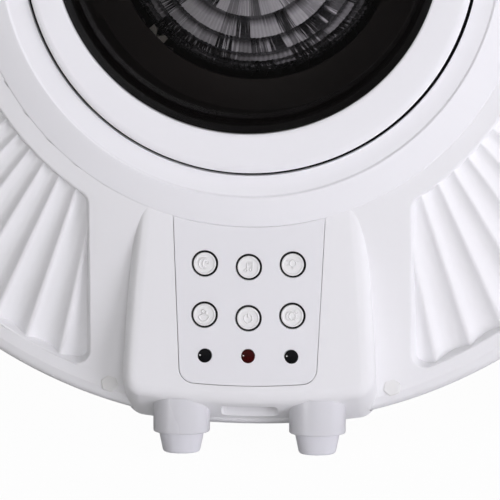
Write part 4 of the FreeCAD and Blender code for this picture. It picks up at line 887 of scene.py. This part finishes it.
# %% Symbols
symbols = {
    "moon": [(crescent(-0.1, 0, 1.2), True), (arc(0.62, 0.15, 0.3, 0, 345, 16), True)],
    "music": [(arc(-0.62, -0.75, 0.3, 0, 345, 16), True), (arc(0.55, -0.55, 0.3, 0, 345, 16), True),
              (line((-0.34, -0.7), (-0.34, 0.85), (0.83, 1.05), (0.83, -0.5)), False),
              (line((-0.34, 0.5), (0.83, 0.7)), False)],
    "lamp": [(arc(0.05, 0.3, 0.72, -55, 235), False), (line((-0.3, -0.45), (0.35, -0.45)), False),
             (line((-0.22, -0.8), (0.28, -0.8)), False), (line((-1.25, 0.95), (-0.95, 0.75)), False),
             (line((1.3, 0.95), (1.0, 0.75)), False), (line((-1.3, -0.1), (-1.0, -0.02)), False)],
    "timer": [(arc(-0.1, 0.62, 0.5, 0, 345, 18), True), (arc(-0.1, -0.3, 1.05, 165, 375, 26), False),
              (line((-1.1, -0.05), (0.92, -0.05)), False)],
    "power": [(arc(0, -0.08, 0.92, 122, 418, 30), False), (line((0, 1.1), (0, 0.1)), False)],
    "stars": [(crescent(-0.35, -0.1, 0.95), True), (star(0.7, 0.6, 0.55), True), (star(0.75, -0.65, 0.4), True)],
}
print("strokes", sum(len(strokes) for strokes in symbols.values()))

# %% [markdown]
# ## Keys and small windows
# From its face inwards a key has a floor, a ring, a side wall, a skirt that fills its hole, a
# flange behind the plate and a plunger over its switch. The three windows are round light pipes
# with domed ends.

# %% Keys and small windows
key_pitch, key_rows, middle_drop = 9.6, (8.2, 19.4), 0.65
key_radius, skirt_radius, flange_radius, plunger_radius = 2.44, 2.82, 3.4, 1.2
ring_level, flange_top, flange_foot, plunger_foot = 0.3, -1.9, -2.7, -4.15
key_profile = eased([(0, key_floor), (1.98, key_floor), (2.1, ring_level), (2.34, ring_level),
                     (key_radius, 0.14), (key_radius, -0.3), (skirt_radius, -0.36), (skirt_radius, flange_top),
                     (flange_radius, flange_top), (flange_radius, flange_foot), (plunger_radius, flange_foot),
                     (plunger_radius, plunger_foot), (0, plunger_foot)],
                    (0, 0.06, 0.06, 0.08, 0.08, 0.03, 0.05, 0.05, 0.1, 0.1, 0.1, 0.1, 0), closed=False)


def moved(grid, x, y):
    """A grid shifted across the console."""
    points, wrap_rows, wrap_columns = grid
    return points + np.array([x, y, 0.0]), wrap_rows, wrap_columns


for number, (name, strokes) in enumerate(symbols.items()):
    column = number % 3 - 1
    x, y = column * key_pitch, -key_rows[number // 3] - (0 if column else middle_drop)
    grids = [ring(key_profile, 96, False)] + [stroke(path, closed) for path, closed in strokes]
    piece("key_" + name, [moved(grid, x, y) for grid in grids], name + "_button", key_abs,
          ("button_" + name,), crease=50.0, place=on_console)

window_drop, window_pitch, window_radius, window_rise, window_depth = 28.4, 9.5, 1.5, 0.42, 8.4
pipe_profile = np.concatenate([cap_profile(window_radius, window_rise, 0.0, 16),
                               [(window_radius, -window_depth), (0, -window_depth)]])
small_windows = {"infrared_window": (infrared_resin, "lens_black"), "indicator_light": (red_resin, "lamp_red"),
                 "sensor_window": (infrared_resin, "lens_black")}
for number, (name, (material, slot)) in enumerate(small_windows.items()):
    grid = moved(ring(pipe_profile, 64, False), (number - 1) * window_pitch, -window_drop)
    piece(name + "_lens", [grid], "housing", material, (name,), crease=50.0, place=on_console)

# %% [markdown]
# ## Crystal
# The crystal stands behind the dome and turns. It is a stack of tiers. Each tier is a polygon of
# 36 sides, set half a side away from the tier below, and each side carries four fine prisms that
# smear the light into streaks. The radius of a flat side at angle a from its middle is its
# middle radius divided by cos a, and the prisms take a zigzag off that.

# %% Crystal tiers
crystal_radius, crystal_seat, crystal_wall, crystal_sides = 29.3, -6.0, 3.0, 36
tier_angles = np.radians([90.0, 78.0, 69.5, 62.0, 54.0, 43.0, 30.3, 17.0])
tier_step, prism_depth, prisms, cap_rise = 0.45, 0.16, 4, 0.8
columns = crystal_sides * side_columns
column_angle = np.linspace(0, 2 * np.pi, columns, endpoint=False)


def tier_row(radius, height, phase):
    """One level of a tier: flat sides with prisms."""
    side = 2 * np.pi / crystal_sides
    from_corner = np.mod(column_angle - phase, side)
    flat = radius * math.cos(side / 2) / np.cos(from_corner - side / 2)
    zigzag = 2 * np.abs(np.mod(from_corner / side * prisms, 1.0) - 0.5)
    r = flat - prism_depth * zigzag
    return np.stack([r * np.cos(column_angle), r * np.sin(column_angle), height + 0 * r], axis=-1)


rows = []
for number, (low, high) in enumerate(zip(tier_angles[:-1], tier_angles[1:])):
    phase = math.pi / crystal_sides * (number % 2)
    foot = (crystal_radius * math.sin(low), crystal_seat + crystal_radius * math.cos(low))
    head = (min(crystal_radius * math.sin(high) + tier_step, foot[0]),
            crystal_seat + crystal_radius * math.cos(high))
    rows += [tier_row(foot[0] + (head[0] - foot[0]) * t, foot[1] + (head[1] - foot[1]) * t, phase)
             for t in np.linspace(0, 1, tier_rows)]
top = crystal_seat + crystal_radius * math.cos(tier_angles[-1])
rows.append(np.stack([0 * column_angle, 0 * column_angle, top + cap_rise + 0 * column_angle], axis=-1))
shell_angle = np.linspace(0, np.pi / 2, 24)
inner = crystal_radius - crystal_wall
inner_rows = np.stack([inner * np.sin(shell_angle)[:, None] * np.cos(column_angle),
                       inner * np.sin(shell_angle)[:, None] * np.sin(column_angle),
                       crystal_seat + inner * np.cos(shell_angle)[:, None] + 0 * column_angle], axis=-1)
crystal_grid = np.concatenate([np.stack(rows), inner_rows, rows[0][None]])
piece("crystal_tiers", [(crystal_grid, False, True)], "crystal_rotor", crystal_ps,
      ("crystal_dome",), crease=8.0)

# %% [markdown]
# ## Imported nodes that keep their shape
# The bowl, the console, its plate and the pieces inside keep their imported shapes. The visible ones
# get smooth, weighted normals through a merged copy. The ones inside only take a material.

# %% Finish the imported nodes
outside = {"rear_shell": (case_abs, "shell_white", 0.2), "console_cover": (case_abs, "shell_white", 0.2),
           "control_plate": (plate_abs, "plate_white", 0.25), "inner_shroud": (inner_abs, "inner_black", 0.0),
           "hex_bolts": (bolt_paint, "bolt_white", 0.3), "port_socket": (nickel_steel, "socket_steel", 0.0)}
for name, finish in outside.items():
    smoothed(name, *finish)

inside = {"control_board": green_mask, "tact_switches": nylon_black, "port_tongue": nylon_black,
          "port_board": green_mask, "leg_screws": zinc_steel, "engine_base": inner_abs, "post_screws": zinc_steel,
          "crown_gear": acetal_black, "hub_retainer": acetal, "drive_pinion": acetal, "motor_shaft": steel,
          "gear_motor": nickel_steel, "star_gear": acetal, "star_film": clear_styrene, "star_pin": steel,
          "led_board": white_mask, "led_emitters": phosphor, "condenser_lens": clear_styrene,
          "heat_sink": extruded_aluminium, "laser_module": turned_brass, "main_board": green_mask,
          "board_chips": epoxy_black, "speaker_frame": painted_steel, "speaker_cone": paper_black}
for name, material in inside.items():
    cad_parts[name].data.materials.clear()
    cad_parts[name].data.materials.append(material)
print("inside nodes", len(inside))

# %% [markdown]
# ## Stage
# The floor is plain and pale. The camera sees it as white with the object's faint shadow, and
# polished skins see it dim, so that they stay dark. It throws no shadow itself, because the main
# light stands a little below its level.

# %% Floor
floor_glow, floor_mirror, seen_white, floor_reach = 0.05, 0.05, 0.97, 3.0


def pale_floor():
    """Camera rays see white with the object's faint shadow. Other rays meet white paper lit from beneath."""
    material, tree = new_material("floor_paper")
    where = node(tree, "ShaderNodeTexCoord")
    fibre = node(tree, "ShaderNodeTexNoise", {"Vector": where.outputs["Object"], "Scale": 400.0})
    tone = node(tree, "ShaderNodeMix", {"Factor": fibre.outputs["Fac"], "A": linear("#F4F4F4"),
                                        "B": linear("#F8F8F8")}, data_type="RGBA")
    paper = node(tree, "ShaderNodeBsdfDiffuse", {"Color": tone.outputs["Result"]})
    bright = node(tree, "ShaderNodeEmission", {"Strength": 1.0})
    path = node(tree, "ShaderNodeLightPath")
    share = node(tree, "ShaderNodeMath", {0: path.outputs["Is Camera Ray"], 1: seen_white}, operation="MULTIPLY")
    seen = node(tree, "ShaderNodeMixShader", {0: share.outputs["Value"], 1: paper.outputs["BSDF"],
                                              2: bright.outputs["Emission"]})
    table = node(tree, "ShaderNodeEmission", {"Strength": floor_glow})
    glow = node(tree, "ShaderNodeAddShader", {0: paper.outputs["BSDF"], 1: table.outputs["Emission"]})
    dim = node(tree, "ShaderNodeEmission", {"Strength": floor_mirror})
    mirrored = node(tree, "ShaderNodeMixShader", {0: path.outputs["Is Glossy Ray"], 1: seen.outputs["Shader"],
                                                  2: dim.outputs["Emission"]})
    diffuse = node(tree, "ShaderNodeMixShader", {0: path.outputs["Is Diffuse Ray"],
                                                 1: mirrored.outputs["Shader"], 2: glow.outputs["Shader"]})
    node(tree, "ShaderNodeOutputMaterial", {"Surface": diffuse.outputs["Shader"]})
    return material


floor_mesh = bpy.data.meshes.new("floor")
floor_corners = [(x * floor_reach, y * floor_reach, 0) for x, y in ((-1, -1), (1, -1), (1, 1), (-1, 1))]
floor_mesh.from_pydata(floor_corners, [], [(0, 1, 2, 3)])
floor_mesh.materials.append(pale_floor())
floor = bpy.data.objects.new("floor", floor_mesh)
floor.visible_shadow = False
bpy.context.scene.collection.objects.link(floor)
print("floor", 2 * floor_reach, "m wide")

# %% [markdown]
# ## Surround
# The camera sees the surround as white. The object itself is lit by a soft, slightly warm share of
# it, and polished skins see a dim room that is brighter behind the object than in front of it, as
# in a studio with its lights turned away.

# %% Surround
ambient, mirror_room, dark_room = 0.24, 0.32, 0.14
room_direction, room_span = (-0.25, 1.0, 0.15), (-0.9, 0.6)
world = bpy.context.scene.world or bpy.data.worlds.new("studio")
bpy.context.scene.world = world
world.use_nodes = True
sky = world.node_tree
sky.nodes.clear()
direction = node(sky, "ShaderNodeTexCoord")
facing = node(sky, "ShaderNodeVectorMath", {0: direction.outputs["Generated"], 1: room_direction},
              operation="DOT_PRODUCT")
level = node(sky, "ShaderNodeMapRange", {"Value": facing.outputs["Value"], "From Min": room_span[0],
                                         "From Max": room_span[1], "To Min": dark_room, "To Max": mirror_room})
mirrored_room = node(sky, "ShaderNodeBackground", {"Strength": level.outputs["Result"]})
soft = node(sky, "ShaderNodeBackground", {"Strength": ambient, "Color": (1.0, 0.985, 0.965, 1.0)})
white = node(sky, "ShaderNodeBackground", {"Strength": 1.0})
path = node(sky, "ShaderNodeLightPath")
glossy = node(sky, "ShaderNodeMixShader", {0: path.outputs["Is Glossy Ray"], 1: soft.outputs["Background"],
                                           2: mirrored_room.outputs["Background"]})
seen = node(sky, "ShaderNodeMixShader", {0: path.outputs["Is Camera Ray"], 1: glossy.outputs["Shader"],
                                         2: white.outputs["Background"]})
node(sky, "ShaderNodeOutputWorld", {"Surface": seen.outputs["Shader"]})
print("surround", ambient)

# %% [markdown]
# ## Lamps
# The main light is soft and comes from the right and the front, a little below the floor's level.
# A weaker one stands in front, near the camera's line, and two more fill the right and the top. One
# behind keeps the back readable. A box at the left is seen in polished skins only, where it makes
# the glint on the windows.

# %% Lamps
glint_power, glint_size, glint_place = 8.0, 0.4, (-1.2, -1.25, 0.05)
lamps = {
    "corner": (1.62, 0.25, (0.36, -0.40, -0.03), (0.94, 0.92, 1.0)),
    "close": (1.15, 0.3, (0.1, -0.7, 0.17), (0.96, 0.94, 1.0)),
    "side": (0.20, 0.25, (0.45, -0.22, 0.03), (0.93, 0.91, 1.0)),
    "upper": (0.25, 0.25, (0.3, -0.35, 0.35), (0.95, 0.95, 1.0)),
    "back": (3.2, 0.6, (-0.5, 1.0, 0.5), (0.96, 0.96, 1.0)),
}


def aim(thing, place, target, roll=0.0):
    """Put a lamp or camera at a place, looking at a target, rolled about its own axis."""
    view = Vector(target) - Vector(place)
    turn = view.to_track_quat("-Z", "Y").to_matrix().to_4x4() @ Matrix.Rotation(roll, 4, "Z")
    thing.matrix_world = Matrix.Translation(place) @ turn


for name, (power, size, place, colour) in lamps.items():
    light = bpy.data.lights.new(name, "AREA")
    light.energy, light.size, light.color = power, size, colour
    lamp = bpy.data.objects.new(name, light)
    bpy.context.scene.collection.objects.link(lamp)
    lamp.visible_glossy = False
    aim(lamp, place, (0.0, 0.0, 0.08))
glint = bpy.data.lights.new("glint", "AREA")
glint.energy, glint.size = glint_power, glint_size
glint_box = bpy.data.objects.new("glint", glint)
bpy.context.scene.collection.objects.link(glint_box)
glint_box.visible_diffuse = False
aim(glint_box, glint_place, (0.0, 0.0, 0.04))
print("lamps", len(lamps) + 1)

# %% [markdown]
# ## Camera
# The photograph was taken from far away: the rings stay almost concentric. The camera stands 2 m
# from the disc, a little to its right and above its centre, and looks at the console's top.

# %% Camera
distance, azimuth, elevation, roll = 2000.0, math.radians(3.5), math.radians(5.5), math.radians(0.3)
aim_point = np.array([0.28, -66.03, 18.0])
sensor, focal_pixels, picture_pixels = 36.0, 9131, 500
stop = distance * np.array([math.sin(azimuth) * math.cos(elevation), math.sin(elevation),
                            math.cos(azimuth) * math.cos(elevation)])
eye = bpy.data.cameras.new("camera")
eye.sensor_width = sensor
eye.lens = sensor * focal_pixels / picture_pixels
eye.clip_start, eye.clip_end = 0.05, 50.0
camera = bpy.data.objects.new("camera", eye)
bpy.context.scene.collection.objects.link(camera)
aim(camera, tuple(stand(stop)), tuple(stand(aim_point)), roll)
bpy.context.scene.camera = camera
bpy.context.scene.view_settings.view_transform = "Standard"
print("camera", [round(v, 3) for v in stand(stop)])
